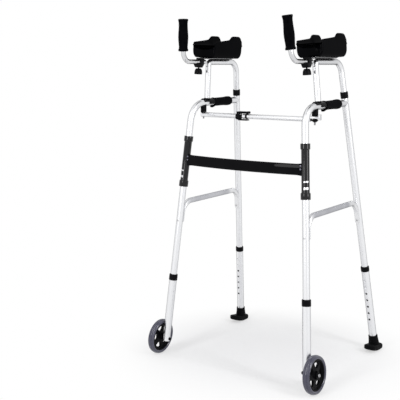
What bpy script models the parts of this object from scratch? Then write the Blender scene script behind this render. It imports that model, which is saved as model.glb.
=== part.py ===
"""Wheeled walker with two forearm supports: one named object per physical piece, metres, +Z up.

The front faces -Y. The user's left is +X. Both side frames lean inward towards the top, so every piece of
a side is drawn in leaning coordinates (o outward, y to the rear, h up along the frame) and then placed.
"""

import math

import bmesh
import bpy
from mathutils import Matrix, Vector

# Side frame planes
PIVOT_Z = 0.900
HALF_WIDTH = 0.2234
SPLAY = 0.0760
TOE = 0.0070
FRONT_Y = -0.180
FRONT_LEAN = 0.079
REAR_Y = 0.110
REAR_LEAN = 0.173
CENTRE_Y = 0.00505

# Tubes
UPPER_R = 0.0115
UPPER_BORE = 0.0103
LOWER_R = 0.0136
LOWER_BORE = 0.0118
BRACE_R = 0.0096
ARM_R = 0.0100
ARM_BORE = 0.0088
GRIP_TUBE_R = 0.0080
GRIP_TUBE_BORE = 0.0066
STRUT_R = 0.0080
STRUT_BORE = 0.0065
GAP = 0.0003

# Heights in world metres
HANDLE_Z = 0.912
HANDLE_SLOPE = 0.016
HANDLE_BEND_R = 0.067
UPPER_TUBE_END_Z = 0.236
FRONT_LEG_END_Z = 0.0525
FRONT_COLLAR_Z = (0.2780, 0.2998)
REAR_COLLAR_Z = (0.3045, 0.3225)
TOP_COLLAR_Z = (0.9330, 0.9545)
BRACE_Z = (0.5605, 0.5635)
BRACE_END_Z = 0.487
BRACE_RIVET_Z = 0.496
SLEEVE_Z = (0.6185, 0.7975)
BAR_Z = 0.7135
BAR_HEIGHT = 0.037
BAR_DEPTH = 0.015
BAR_BOW = 0.025
STRUT_Z = 0.870
STRUT_Y = -0.10595
BUTTON_Z = 0.2712
HOLE_PITCH = 0.0254
HOLE_COUNT = 7
HOLE_R = 0.0039
BUTTON_R = 0.0034

# Wheels
WHEEL_R = 0.0635
WHEEL_WIDTH = 0.024
WHEEL_OUT = 0.0275
TREAD_R = 0.008
AXLE_R = 0.0040
HUB_TURNS = (-17.0, 12.0)
RIM_R = 0.0510

# Forearm supports
ARM_Z = 1.0570
ARM_FRONT_Y = -0.0925
ARM_FRONT_LEAN = 0.057
ARM_BENDS = (0.0125, 0.045)
CUFF_Y = (-0.134, 0.043)
CUFF_FLOOR_Z = 1.0712
CUFF_HALF = 0.0478
CUFF_LIP = 0.0050
CUFF_CORNER = (0.016, 0.027)
CUFF_GUTTER = 0.034
CUFF_WALL = 0.0535
CUFF_WALL_RISE = 0.0115
CUFF_INNER_RISE = 0.0034
CUFF_TAB = 0.0118
PLATE_Y = (-0.1250, 0.0300)
BLOCK_Y = (-0.1730, -0.1395)
BLOCK_Z = 1.0375
GRIP_TUBE_Z = 1.0575
KNOB_TOP_Z = 1.0345
UPRIGHT_GRIP_Y = -0.2557
UPRIGHT_LEAN = 0.111
UPRIGHT_BEND = 0.0395
UPRIGHT_GRIP_H = (1.0930, 1.2000)

# Strut and its lock
LUG_Z = (0.8727, 0.8800)
LUG_LENGTH = (0.0200, 0.0195)
LUG_HALF = 0.0100
LUG_LIP_Z = (0.8680, 0.8865)
RIGHT_ROD_TAIL = 0.009
LEFT_ROD_TIP = -0.0548
RIGHT_ROD_TIP = -0.0660
LOCK_BODY_X = (-0.0815, -0.0640)
LOCK_HALF = 0.0098
LOCK_RING_X = (-0.0425, -0.0352)
LATCH_PIN = (-0.0704, 0.8828)

ANGLE = math.atan(SPLAY)
COS_A = math.cos(ANGLE)
SIN_A = math.sin(ANGLE)
SIDE = (Matrix.Translation((HALF_WIDTH, FRONT_Y + CENTRE_Y, PIVOT_Z)) @ Matrix.Rotation(-TOE, 4, "Z")
        @ Matrix.Rotation(-ANGLE, 4, "Y") @ Matrix.Translation((0.0, -FRONT_Y, -PIVOT_Z)))


def clear_scene():
    """Removes every object of the starting scene."""
    for obj in list(bpy.data.objects):
        bpy.data.objects.remove(obj, do_unlink=True)


def height(z, out=0.0):
    """Height h in a leaning side frame of the point at world height z and outward offset out."""
    return PIVOT_Z + (z - PIVOT_Z - out * SIN_A) / COS_A


def front_y(h):
    return FRONT_Y - FRONT_LEAN * (PIVOT_Z - h)


def rear_y(h):
    return REAR_Y + REAR_LEAN * (PIVOT_Z - h)


def front_point(z, out=0.0):
    h = height(z)
    return Vector((out, front_y(h), h))


def rear_point(z, out=0.0):
    h = height(z)
    return Vector((out, rear_y(h), h))


def handle_point(y, out=0.0):
    """Point of the handle tube's axis, which rises a little to the rear."""
    return Vector((out, y, height(HANDLE_Z) + HANDLE_SLOPE * (y - STRUT_Y)))


HANDLE_DIR = Vector((0.0, 1.0, HANDLE_SLOPE)).normalized()
FRONT_DIR = Vector((0.0, FRONT_LEAN, 1.0)).normalized()
REAR_DIR = Vector((0.0, -REAR_LEAN, 1.0)).normalized()


def material(name, colour, metallic, roughness):
    mat = bpy.data.materials.new(name)
    mat.use_nodes = True
    shader = mat.node_tree.nodes["Principled BSDF"]
    shader.inputs["Base Color"].default_value = (*colour, 1.0)
    shader.inputs["Metallic"].default_value = metallic
    shader.inputs["Roughness"].default_value = roughness
    return mat


LOOKS = {
    "aluminium": ((0.72, 0.73, 0.75), 1.0, 0.28),
    "steel": ((0.62, 0.62, 0.63), 1.0, 0.30),
    "gloss_black": ((0.015, 0.015, 0.017), 0.0, 0.18),
    "black_plastic": ((0.022, 0.022, 0.024), 0.0, 0.45),
    "black_foam": ((0.018, 0.018, 0.020), 0.0, 0.75),
    "black_rubber": ((0.020, 0.020, 0.021), 0.0, 0.70),
    "grey_rubber": ((0.115, 0.115, 0.135), 0.0, 0.62),
    "grey_plastic": ((0.55, 0.55, 0.56), 0.0, 0.45),
}


def mesh_object(name, verts, faces, matrix=None):
    """Builds a closed mesh object from points and faces and turns its faces outward."""
    mesh = bpy.data.meshes.new(name)
    mesh.from_pydata([tuple(v) for v in verts], [], [tuple(f) for f in faces])
    if matrix is not None:
        mesh.transform(matrix)
    bm = bmesh.new()
    bm.from_mesh(mesh)
    bmesh.ops.recalc_face_normals(bm, faces=bm.faces)
    bm.to_mesh(mesh)
    bm.free()
    obj = bpy.data.objects.new(name, mesh)
    bpy.context.scene.collection.objects.link(obj)
    return obj


def frame_along(direction, hint):
    """Two unit vectors across a direction, the first as near as possible to hint."""
    along = Vector(direction).normalized()
    first = (Vector(hint) - along * along.dot(Vector(hint))).normalized()
    return first, along.cross(first)


def sweep(name, points, directions, outer, inner, sides, hint, matrix=None):
    """Sweeps an oval section along points; outer and inner hold one (across hint, other) pair per point."""
    verts = []
    faces = []
    count = len(points)
    rings = [outer] if inner is None else [outer, inner]
    for radii in rings:
        for point, direction, (ra, rb) in zip(points, directions, radii):
            first, second = frame_along(direction, hint)
            for k in range(sides):
                angle = 2.0 * math.pi * (k + 0.5) / sides
                verts.append(Vector(point) + first * (ra * math.cos(angle)) + second * (rb * math.sin(angle)))
    for layer in range(len(rings)):
        base = layer * count * sides
        for i in range(count - 1):
            for k in range(sides):
                a = base + i * sides + k
                b = base + i * sides + (k + 1) % sides
                faces.append((a, b, b + sides, a + sides))
    shift = count * sides
    if inner is None:
        faces.append(tuple(range(sides)))
        faces.append(tuple(range(shift - sides, shift)))
    else:
        for start in (0, shift - sides):
            for k in range(sides):
                a = start + k
                b = start + (k + 1) % sides
                faces.append((a, b, b + shift, a + shift))
    return mesh_object(name, verts, faces, matrix)


def tube(name, points, directions, radius, bore, sides, hint=(1.0, 0.0, 0.0), matrix=None):
    outer = [(radius, radius)] * len(points)
    inner = None if bore is None else [(bore, bore)] * len(points)
    return sweep(name, points, directions, outer, inner, sides, hint, matrix)


def straight(name, start, end, radius, bore, sides, hint=(1.0, 0.0, 0.0), matrix=None):
    start = Vector(start)
    end = Vector(end)
    direction = end - start
    return tube(name, [start, end], [direction, direction], radius, bore, sides, hint, matrix)


def filleted(corners, radii, steps):
    """A path through corners with arcs of the given radii; returns points and directions."""
    corners = [Vector(c) for c in corners]
    points = [corners[0]]
    directions = [(corners[1] - corners[0]).normalized()]
    for i in range(1, len(corners) - 1):
        before = (corners[i] - corners[i - 1]).normalized()
        after = (corners[i + 1] - corners[i]).normalized()
        turn = before.angle(after)
        reach = radii[i - 1] * math.tan(turn / 2.0)
        start = corners[i] - before * reach
        side = (after - before * before.dot(after)).normalized()
        centre = start + side * radii[i - 1]
        for k in range(steps[i - 1] + 1):
            angle = turn * k / steps[i - 1]
            spoke = before * math.sin(angle) - side * math.cos(angle)
            points.append(centre + spoke * radii[i - 1])
            directions.append(before * math.cos(angle) + side * math.sin(angle))
    points.append(corners[-1])
    directions.append((corners[-1] - corners[-2]).normalized())
    return points, directions


def turned(name, origin, axis, profile, sides, hint=(0.0, 1.0, 0.0), matrix=None):
    """Turns a profile of (radius, distance) about an axis; a profile from 0 to 0 radius gives a solid."""
    origin = Vector(origin)
    first, second = frame_along(axis, hint)
    along = Vector(axis).normalized()
    verts = []
    rows = []
    for radius, distance in profile:
        row = []
        if radius <= 0.0:
            row = [len(verts)] * sides
            verts.append(origin + along * distance)
        else:
            for k in range(sides):
                angle = 2.0 * math.pi * (k + 0.5) / sides
                row.append(len(verts))
                verts.append(origin + along * distance + first * (radius * math.cos(angle))
                             + second * (radius * math.sin(angle)))
        rows.append(row)
    solid = profile[0][0] <= 0.0 and profile[-1][0] <= 0.0
    pairs = list(zip(rows, rows[1:]))
    if not solid:
        pairs.append((rows[-1], rows[0]))
    faces = []
    for one, two in pairs:
        for k in range(sides):
            n = (k + 1) % sides
            face = [one[k], one[n], two[n], two[k]]
            faces.append(tuple(dict.fromkeys(face)))
    return mesh_object(name, verts, faces, matrix)


def lofted(name, rings, matrix=None):
    """Joins equal rings of points and closes both ends."""
    size = len(rings[0])
    verts = [v for ring in rings for v in ring]
    faces = []
    for i in range(len(rings) - 1):
        for k in range(size):
            n = (k + 1) % size
            faces.append((i * size + k, i * size + n, (i + 1) * size + n, (i + 1) * size + k))
    faces.append(tuple(range(size)))
    faces.append(tuple(range((len(rings) - 1) * size, len(rings) * size)))
    return mesh_object(name, verts, faces, matrix)


def block(name, low, high, matrix=None, chamfer=0.0, segments=2):
    """A box from corner low to corner high with rounded edges."""
    bm = bmesh.new()
    bmesh.ops.create_cube(bm, size=1.0)
    low = Vector(low)
    high = Vector(high)
    for v in bm.verts:
        v.co = Vector([low[i] + (v.co[i] + 0.5) * (high[i] - low[i]) for i in range(3)])
    if chamfer > 0.0:
        bmesh.ops.bevel(bm, geom=bm.edges[:], offset=chamfer, segments=segments, affect="EDGES", profile=0.5)
    mesh = bpy.data.meshes.new(name)
    bm.to_mesh(mesh)
    bm.free()
    if matrix is not None:
        mesh.transform(matrix)
    obj = bpy.data.objects.new(name, mesh)
    bpy.context.scene.collection.objects.link(obj)
    return obj


def combine(target, others, operation):
    """Applies exact Booleans of the other objects to the target and removes them."""
    for other in others:
        other.hide_render = True
        modifier = target.modifiers.new("combine", "BOOLEAN")
        modifier.operation = operation
        modifier.solver = "EXACT"
        modifier.object = other
    graph = bpy.context.evaluated_depsgraph_get()
    mesh = bpy.data.meshes.new_from_object(target.evaluated_get(graph))
    target.modifiers.clear()
    target.data = mesh
    for other in others:
        bpy.data.objects.remove(other, do_unlink=True)
    return target


def finish(obj, name, look):
    """Names an object, gives it a material of its own and shades its round faces smooth."""
    obj.name = name
    obj.data.name = name
    obj.data.materials.clear()
    obj.data.materials.append(material(name + "_material", *LOOKS[look]))
    obj.data.shade_smooth()
    obj.data.set_sharp_from_angle(angle=math.radians(35.0))
    return obj


def on_right(obj, name, look):
    """Moves a piece drawn on the left over to the right side."""
    obj.data.transform(Matrix.Diagonal((-1.0, 1.0, 1.0, 1.0)))
    obj.data.flip_normals()
    return finish(obj, name, look)


def both(obj, name, look):
    """Keeps a left piece and adds its mirror copy on the right."""
    copy = bpy.data.objects.new(name, obj.data.copy())
    bpy.context.scene.collection.objects.link(copy)
    finish(obj, "left_" + name, look)
    on_right(copy, "right_" + name, look)


def front_path():
    """Axis of the tube that is the front leg and the handle in one."""
    corner_y = front_y(handle_point(front_y(height(HANDLE_Z))).z)
    end_y = rear_y(handle_point(rear_y(height(HANDLE_Z))).z)
    corners = [front_point(UPPER_TUBE_END_Z), handle_point(corner_y), handle_point(end_y)]
    return filleted(corners, [HANDLE_BEND_R], [9])


def front_tube():
    obj = tube("front_tube", *front_path(), UPPER_R, UPPER_BORE, 16, matrix=SIDE)
    rear_axis = [rear_point(HANDLE_Z - 0.05), rear_point(HANDLE_Z + 0.05)]
    cope = straight("cut", *rear_axis, UPPER_R + GAP, None, 16, matrix=SIDE)
    bolt = vertical_cutter(0.0034, HANDLE_Z - 0.03, HANDLE_Z + 0.03)
    start = front_point(BUTTON_Z)
    across = Vector((0.0, 1.0, -FRONT_LEAN)).normalized()
    button = straight("cut", start, start + across * 0.02, HOLE_R, None, 8, matrix=SIDE)
    return combine(obj, [cope, bolt, button], "DIFFERENCE")


def bolt_x():
    """World X of the strut bolts, which stand upright through the handle tubes."""
    return (SIDE @ Vector((0.0, STRUT_Y, height(HANDLE_Z)))).x


def vertical_cutter(radius, low, high):
    x = bolt_x()
    return straight("cut", (x, STRUT_Y, low), (x, STRUT_Y, high), radius, None, 8)


def rear_upright():
    obj = straight("rear_upright", rear_point(UPPER_TUBE_END_Z), rear_point(TOP_COLLAR_Z[1] - 0.004),
                   UPPER_R, UPPER_BORE, 16, matrix=SIDE)
    start = rear_point(BUTTON_Z)
    across = Vector((0.0, -1.0, -REAR_LEAN)).normalized()
    button = straight("cut", start, start + across * 0.02, HOLE_R, None, 8, matrix=SIDE)
    return combine(obj, [button], "DIFFERENCE")


def top_collar():
    low = rear_point(TOP_COLLAR_Z[0])
    length = (rear_point(TOP_COLLAR_Z[1]) - low).length
    lip = length - 0.0036
    profile = [(UPPER_R + GAP, 0.0), (0.0134, 0.0), (0.0134, length), (ARM_R + 0.0004, length),
               (ARM_R + 0.0004, lip), (UPPER_R + GAP, lip)]
    return turned("top_collar", low, REAR_DIR, profile, 18, matrix=SIDE)


def lower_collar(point, direction, heights):
    low = point(heights[0])
    length = (point(heights[1]) - low).length
    lip = length - 0.0040
    profile = [(LOWER_R + GAP, 0.0), (0.0152, 0.0), (0.0152, length - 0.0025), (0.0138, length),
               (UPPER_R + 0.0004, length), (UPPER_R + 0.0004, lip), (LOWER_R + GAP, lip)]
    return turned("lower_collar", low, direction, profile, 18, matrix=SIDE)


def handle_grip():
    """Foam grip with flared ends and a short lip under the tube at its front."""
    bore = UPPER_R + GAP
    profile = [(bore, 0.0), (0.0158, 0.0), (0.0166, 0.0015), (0.0166, 0.0040), (0.0152, 0.0065),
               (0.0149, 0.0300), (0.0154, 0.0750), (0.0164, 0.0850), (0.0168, 0.0980), (0.0160, 0.1070),
               (0.0142, 0.1110), (bore, 0.1110)]
    obj = turned("handle_grip", handle_point(-0.055), HANDLE_DIR, profile, 18, hint=(1.0, 0.0, 0.0),
                 matrix=SIDE)
    rings = []
    for y, drop, half, wide in ((-0.0500, 0.0148, 0.0020, 0.0085), (-0.0545, 0.0154, 0.0026, 0.0085),
                                (-0.0580, 0.0168, 0.0018, 0.0075), (-0.0612, 0.0172, 0.0012, 0.0060)):
        centre = handle_point(y) - Vector((0.0, 0.0, drop))
        rings.append([centre + Vector((o, 0.0, k)) for o, k in
                      ((-wide, -half), (wide, -half), (wide, half), (-wide, half))])
    hook = lofted("lip", rings, matrix=SIDE)
    return combine(obj, [hook], "UNION")


def side_brace():
    flat = 0.0028
    shift = UPPER_R + flat + GAP
    front_across = Vector((0.0, 1.0, -FRONT_LEAN)).normalized()
    rear_across = Vector((0.0, -1.0, -REAR_LEAN)).normalized()
    level_front = height(BRACE_Z[0])
    level_rear = height(BRACE_Z[1])
    front_end = front_point(BRACE_END_Z) + front_across * shift
    rear_end = rear_point(BRACE_END_Z) + rear_across * shift
    front_corner = front_point(BRACE_Z[0]) + front_across * shift
    rear_corner = rear_point(BRACE_Z[1]) + rear_across * shift
    front_corner += FRONT_DIR * (level_front - front_corner.z)
    rear_corner += REAR_DIR * (level_rear - rear_corner.z)
    corners = [front_end, front_end.lerp(front_corner, 0.35), front_corner, rear_corner,
               rear_end.lerp(rear_corner, 0.35), rear_end]
    points, directions = filleted([corners[0], corners[2], corners[3], corners[5]], [0.042, 0.040], [5, 5])
    points.insert(1, corners[1])
    directions.insert(1, directions[0])
    points.insert(-1, corners[4])
    directions.insert(-1, directions[-1])
    count = len(points)
    outer = []
    inner = []
    for i in range(count):
        near = min(i, count - 1 - i)
        share = (0.0, 0.0, 0.0, 0.12, 0.55, 1.0, 1.0, 1.0)[min(near, 7)]
        wide = 0.0088 + (BRACE_R - 0.0088) * share
        thick = flat + (BRACE_R - flat) * share
        outer.append((wide, thick))
        inner.append((wide - 0.0014, thick - 0.0014))
    obj = sweep("side_brace", points, directions, outer, inner, 12, (1.0, 0.0, 0.0), matrix=SIDE)
    heads = []
    ends = ((front_point(BRACE_RIVET_Z), front_across), (rear_point(BRACE_RIVET_Z), rear_across))
    for point, across in ends:
        base = point + across * (shift + flat - 0.0005)
        profile = [(0.0, 0.0), (0.0042, 0.0), (0.0042, 0.0010), (0.0028, 0.0026), (0.0, 0.0030)]
        heads.append(turned("head", base, across, profile, 8, hint=(1.0, 0.0, 0.0), matrix=SIDE))
    return combine(obj, heads, "UNION")


def spacer_block(low):
    """Round block from height low up to the handle tube it is coped to."""
    x = bolt_x()
    profile = [(0.0034, 0.0), (0.0106, 0.0), (0.0106, 0.030), (0.0034, 0.030)]
    obj = turned("spacer", (x, STRUT_Y, low), (0.0, 0.0, 1.0), profile, 16, hint=(1.0, 0.0, 0.0))
    cope = tube("cut", *front_path(), UPPER_R + GAP, None, 16, matrix=SIDE)
    upper = block("cut", (x - 0.02, STRUT_Y - 0.02, HANDLE_Z - 0.0035),
                  (x + 0.02, STRUT_Y + 0.02, HANDLE_Z + 0.03))
    return combine(obj, [cope, upper], "DIFFERENCE")


def strut_bolt(tip_z):
    x = bolt_x()
    top = HANDLE_Z + UPPER_R + 0.0005
    profile = [(0.0, tip_z - top), (0.0030, tip_z - top), (0.0030, 0.0), (0.0052, 0.0), (0.0048, 0.0010),
               (0.0, 0.0014)]
    return turned("strut_bolt", (x, STRUT_Y, top), (0.0, 0.0, 1.0), profile, 10, hint=(1.0, 0.0, 0.0))


def thumb_nut():
    x = bolt_x()
    top = LUG_Z[0] - 0.0006
    profile = [(0.0034, 0.0), (0.0060, 0.0), (0.0112, -0.0038), (0.0112, -0.0062), (0.0050, -0.0112),
               (0.0034, -0.0112)]
    return turned("thumb_nut", (x, STRUT_Y, top), (0.0, 0.0, 1.0), profile, 16, hint=(1.0, 0.0, 0.0))


def lower_tube(point, direction, low_z, high_z, facing):
    """Lower leg tube with its row of holes on the side it faces (1 rear, -1 front)."""
    obj = straight("lower_tube", point(low_z), point(high_z), LOWER_R, LOWER_BORE, 16, matrix=SIDE)
    along = direction
    across = Vector((0.0, along.z, -along.y)) * facing
    cutters = []
    first = point(BUTTON_Z)
    for k in range(HOLE_COUNT):
        start = first - along * (HOLE_PITCH * k) + across * 0.004
        cutters.append(straight("cut", start, start + across * 0.016, HOLE_R, None, 8, matrix=SIDE))
    return obj, cutters


def axle_height():
    lowest = (WHEEL_R - TREAD_R) * COS_A + TREAD_R
    return PIVOT_Z + (lowest - PIVOT_Z - WHEEL_OUT * SIN_A) / COS_A


def axle_point(out=0.0):
    h = axle_height()
    return Vector((out, front_y(h), h))


def front_lower_tube():
    obj, cutters = lower_tube(front_point, FRONT_DIR, FRONT_LEG_END_Z, FRONT_COLLAR_Z[1] - 0.0044, 1.0)
    cutters.append(straight("cut", axle_point(-0.03), axle_point(0.03), AXLE_R + GAP, None, 10,
                            hint=(0.0, 1.0, 0.0), matrix=SIDE))
    return combine(obj, cutters, "DIFFERENCE")


def rear_lower_tube():
    obj, cutters = lower_tube(rear_point, REAR_DIR, 0.016, REAR_COLLAR_Z[1] - 0.0044, -1.0)
    return combine(obj, cutters, "DIFFERENCE")


def axle_bolt():
    profile = [(0.0, -0.0186), (0.0055, -0.0180), (0.0055, -0.0140), (AXLE_R, -0.0140), (AXLE_R, 0.0412),
               (0.0060, 0.0412), (0.0060, 0.0450), (0.0040, 0.0478), (0.0, 0.0480)]
    return turned("axle_bolt", axle_point(), (1.0, 0.0, 0.0), profile, 10, matrix=SIDE)


def tyre():
    half = WHEEL_WIDTH / 2.0
    low = RIM_R + GAP
    profile = [(low, -half + 0.0030), (0.0550, -half), (0.0605, -half + 0.0024), (0.0630, -half + 0.0066),
               (WHEEL_R, -0.0022), (WHEEL_R, 0.0022), (0.0630, half - 0.0066), (0.0605, half - 0.0024),
               (0.0550, half), (low, half - 0.0030)]
    return turned("tyre", axle_point(WHEEL_OUT), (1.0, 0.0, 0.0), profile, 32, matrix=SIDE)


def hub(turn):
    """Wheel hub with five windows, the first of them turned by an angle from the top."""
    half = WHEEL_WIDTH / 2.0 - 0.0030
    bore = AXLE_R + GAP
    profile = [(bore, -0.0130), (0.0110, -0.0130), (0.0120, -0.0040), (0.0440, -0.0030), (0.0462, -half),
               (RIM_R, -half), (RIM_R, half), (0.0462, half), (0.0440, 0.0030), (0.0130, 0.0045),
               (0.0115, 0.0130), (bore, 0.0130)]
    obj = turned("hub", axle_point(WHEEL_OUT), (1.0, 0.0, 0.0), profile, 32, matrix=SIDE)
    cutters = []
    centre = axle_point(WHEEL_OUT)
    for k in range(5):
        middle = math.radians(90.0 + turn + 72.0 * k)
        corners = []
        for radius, spread in ((0.0185, 16.0), (0.0405, 22.5), (0.0405, -22.5), (0.0185, -16.0)):
            angle = middle + math.radians(spread)
            corners.append((radius * math.cos(angle), radius * math.sin(angle)))
        rings = [[centre + Vector((o, y, h)) for y, h in corners] for o in (-0.02, 0.02)]
        cutters.append(lofted("cut", rings, matrix=SIDE))
    return combine(obj, cutters, "DIFFERENCE")


def foot():
    """Rubber glide: a level ski-shaped sole in world axes with a leaning socket for the leg."""
    centre = SIDE @ rear_point(0.0)
    stations = [(-0.0638, 0.0060, 0.0200, 0.0290), (-0.0615, 0.0110, 0.0165, 0.0310),
                (-0.0560, 0.0165, 0.0125, 0.0310), (-0.0480, 0.0200, 0.0090, 0.0295),
                (-0.0380, 0.0218, 0.0058, 0.0275), (-0.0270, 0.0228, 0.0030, 0.0255),
                (-0.0150, 0.0230, 0.0008, 0.0240), (-0.0060, 0.0230, 0.0, 0.0232),
                (0.0140, 0.0230, 0.0, 0.0215),
                (0.0200, 0.0222, 0.0010, 0.0200), (0.0260, 0.0195, 0.0035, 0.0185),
                (0.0300, 0.0160, 0.0060, 0.0175), (0.0335, 0.0110, 0.0085, 0.0165),
                (0.0345, 0.0060, 0.0105, 0.0150)]
    rings = []
    for y, half, low, high in stations:
        soft = min(0.004, half * 0.5)
        inset = soft * 0.8
        section = [(-half + inset, low), (half - inset, low), (half, low + soft), (half, high - soft),
                   (half - inset, high), (-half + inset, high), (-half, high - soft), (-half, low + soft)]
        rings.append([Vector((centre.x + o, centre.y + y, z)) for o, z in section])
    obj = lofted("foot", rings)
    low = rear_point(0.012)
    axis_length = (rear_point(0.0565) - low).length
    profile = [(0.0, 0.0), (0.0198, 0.0), (0.0190, 0.018), (0.0168, axis_length * 0.75),
               (0.0158, axis_length), (0.0, axis_length)]
    neck = turned("neck", low, REAR_DIR, profile, 16, matrix=SIDE)
    combine(obj, [neck], "UNION")
    bore = straight("cut", rear_point(0.0157), rear_point(0.08), LOWER_R + GAP, None, 16, matrix=SIDE)
    return combine(obj, [bore], "DIFFERENCE")


def snap_button(point, direction, facing):
    across = Vector((0.0, direction.z, -direction.y)) * facing
    tip = UPPER_R - 0.0001
    profile = [(0.0, 0.0045), (0.0046, 0.0045), (0.0046, 0.0060), (BUTTON_R, 0.0060),
               (BUTTON_R, tip - 0.0012),
               (0.0, tip)]
    return turned("button", point(BUTTON_Z), across, profile, 10, hint=(1.0, 0.0, 0.0), matrix=SIDE)


def arm_front_y(h):
    return ARM_FRONT_Y - ARM_FRONT_LEAN * (h - 0.966)


def arm_tube():
    level = height(ARM_Z)
    low = height(HANDLE_Z + 0.0168)
    front_corner = Vector((0.0, arm_front_y(level), level))
    corners = [Vector((0.0, arm_front_y(low), low)), front_corner, Vector((0.0, rear_y(level), level)),
               rear_point(0.742)]
    points, directions = filleted(corners, ARM_BENDS, [4, 6])
    return tube("arm_tube", points, directions, ARM_R, ARM_BORE, 12, matrix=SIDE)


def saddle():
    """Shell over the handle tube with a seat for the arm tube and a cap over the bolt's head."""
    h = height(HANDLE_Z)
    inner = UPPER_R + 0.0004
    outer = 0.0143
    section = [(outer, -0.0045)]
    arc = [math.radians(a) for a in range(0, 181, 30)]
    section += [(outer * math.cos(a), outer * math.sin(a)) for a in arc]
    section += [(-outer, -0.0045), (-inner, -0.0045)]
    section += [(inner * math.cos(a), inner * math.sin(a)) for a in reversed(arc)]
    section += [(inner, -0.0045)]
    rings = [[handle_point(y, o) + Vector((0.0, 0.0, k)) for o, k in section] for y in (-0.1165, -0.0560)]
    obj = lofted("saddle", rings, matrix=SIDE)
    seat_h = 0.0165
    axis = Vector((0.0, -ARM_FRONT_LEAN, 1.0)).normalized()
    base = Vector((0.0, arm_front_y(h + seat_h), h + seat_h))
    profile = [(0.0, -0.0034), (0.0112, -0.0034), (0.0112, 0.0), (0.0083, 0.0), (0.0083, 0.0180),
               (0.0, 0.0200)]
    boss = turned("boss", base, axis, profile, 14, hint=(1.0, 0.0, 0.0), matrix=SIDE)
    cap_profile = [(0.0, 0.0), (0.0082, 0.0), (0.0082, 0.0028), (0.0066, 0.0046), (0.0, 0.0052)]
    cap = turned("cap", (bolt_x(), STRUT_Y, HANDLE_Z + 0.0105), (0.0, 0.0, 1.0), cap_profile, 14,
                 hint=(1.0, 0.0, 0.0))
    combine(obj, [boss, cap], "UNION")
    cutters = [block("cut", (-0.03, -0.13, h - 0.02), (0.03, -0.088, h + 0.0050), matrix=SIDE),
               tube("cut", *front_path(), inner, None, 16, matrix=SIDE),
               vertical_cutter(0.0064, HANDLE_Z, HANDLE_Z + 0.0139)]
    return combine(obj, cutters, "DIFFERENCE")


def cuff_wall_height(y, rise):
    """Height of a cuff wall above the underside, with a raised tab in the middle of its length."""
    start, end = CUFF_Y
    share = (y - start) / (end - start)
    base = CUFF_WALL + rise + CUFF_WALL_RISE * min(1.0, share * 1.6)
    before = 1.0 / (1.0 + math.exp(-(y + 0.033) / 0.0035))
    after = 1.0 / (1.0 + math.exp(-(y - 0.029) / 0.0035))
    return base + CUFF_TAB * (before - after) - 0.010 * max(0.0, share - 0.93) / 0.07


def cuff_outer_half(top, inset):
    """Outer side of half a cuff section from its wall's top down to the underside."""
    wide, tall = CUFF_CORNER
    half = [(CUFF_HALF - inset, top)]
    for angle in (0.0, 22.5, 45.0, 67.5, 90.0):
        turn = math.radians(angle)
        half.append((CUFF_HALF - wide + (wide - inset) * math.cos(turn),
                     tall - (tall - inset) * math.sin(turn)))
    return half


def cuff_inner_half(top, inset):
    """Gutter side of half a cuff section from its wall's top down to the middle."""
    wide = CUFF_HALF - CUFF_LIP + inset
    deep = top - CUFF_GUTTER + inset
    turns = [math.radians(angle) for angle in (0.0, 18.0, 36.0, 54.0, 72.0)]
    return [(wide * math.cos(turn), top - deep * math.sin(turn)) for turn in turns]


def cuff():
    """Thick moulded pad for the forearm with an elliptical gutter between its two walls."""
    floor = height(CUFF_FLOOR_Z)
    start, end = CUFF_Y
    stations = [start, start + 0.004, -0.085, -0.043, -0.036, -0.030, -0.023, 0.019, 0.026, 0.032, 0.039, end]
    rings = []
    for y in stations:
        inset = 0.0016 if y in (start, end) else 0.0
        inner_top = cuff_wall_height(y, CUFF_INNER_RISE) - inset
        outer_top = cuff_wall_height(y, 0.0) - inset
        ring = [(-o, k) for o, k in cuff_outer_half(inner_top, inset)]
        ring += reversed(cuff_outer_half(outer_top, inset))
        ring += cuff_inner_half(outer_top, inset)
        ring += [(0.0, CUFF_GUTTER - inset)]
        ring += [(-o, k) for o, k in reversed(cuff_inner_half(inner_top, inset))]
        rings.append([Vector((o, y, floor + k)) for o, k in ring])
    return lofted("cuff", rings, matrix=SIDE)


def cuff_plate():
    low = height(ARM_Z + ARM_R + 0.0006)
    high = height(CUFF_FLOOR_Z - 0.0004)
    return block("plate", (-0.019, PLATE_Y[0], low), (0.019, PLATE_Y[1], high), matrix=SIDE, chamfer=0.0008,
                 segments=1)


def clamp_block():
    """Block round the grip tube, cut back above the lip that carries the tube at its front."""
    low = height(BLOCK_Z)
    high = height(CUFF_FLOOR_Z - 0.0004)
    h = height(GRIP_TUBE_Z)
    front, rear = BLOCK_Y
    lip = h - 0.0050
    rings = []
    for o, rise in ((-0.0118, 0.0028), (-0.0092, 0.0), (0.0092, 0.0), (0.0118, 0.0028)):
        outline = [(front, lip), (front, low + 0.0100), (front + 0.0085, low + rise),
                   (rear - 0.0085, low + rise),
                   (rear, low + 0.0100), (rear, high), (front + 0.0140, high), (front + 0.0140, lip)]
        rings.append([Vector((o, y, k)) for y, k in outline])
    obj = lofted("clamp", rings, matrix=SIDE)
    bore = straight("cut", (0.0, -0.22, h), (0.0, -0.10, h), GRIP_TUBE_R + GAP, None, 16, matrix=SIDE)
    y = knob_y()
    stud = straight("cut", (0.0, y, low - 0.01), (0.0, y, h), 0.0034, None, 12, matrix=SIDE)
    return combine(obj, [bore, stud], "DIFFERENCE")


def knob_y():
    return (BLOCK_Y[0] + BLOCK_Y[1]) / 2.0


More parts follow.
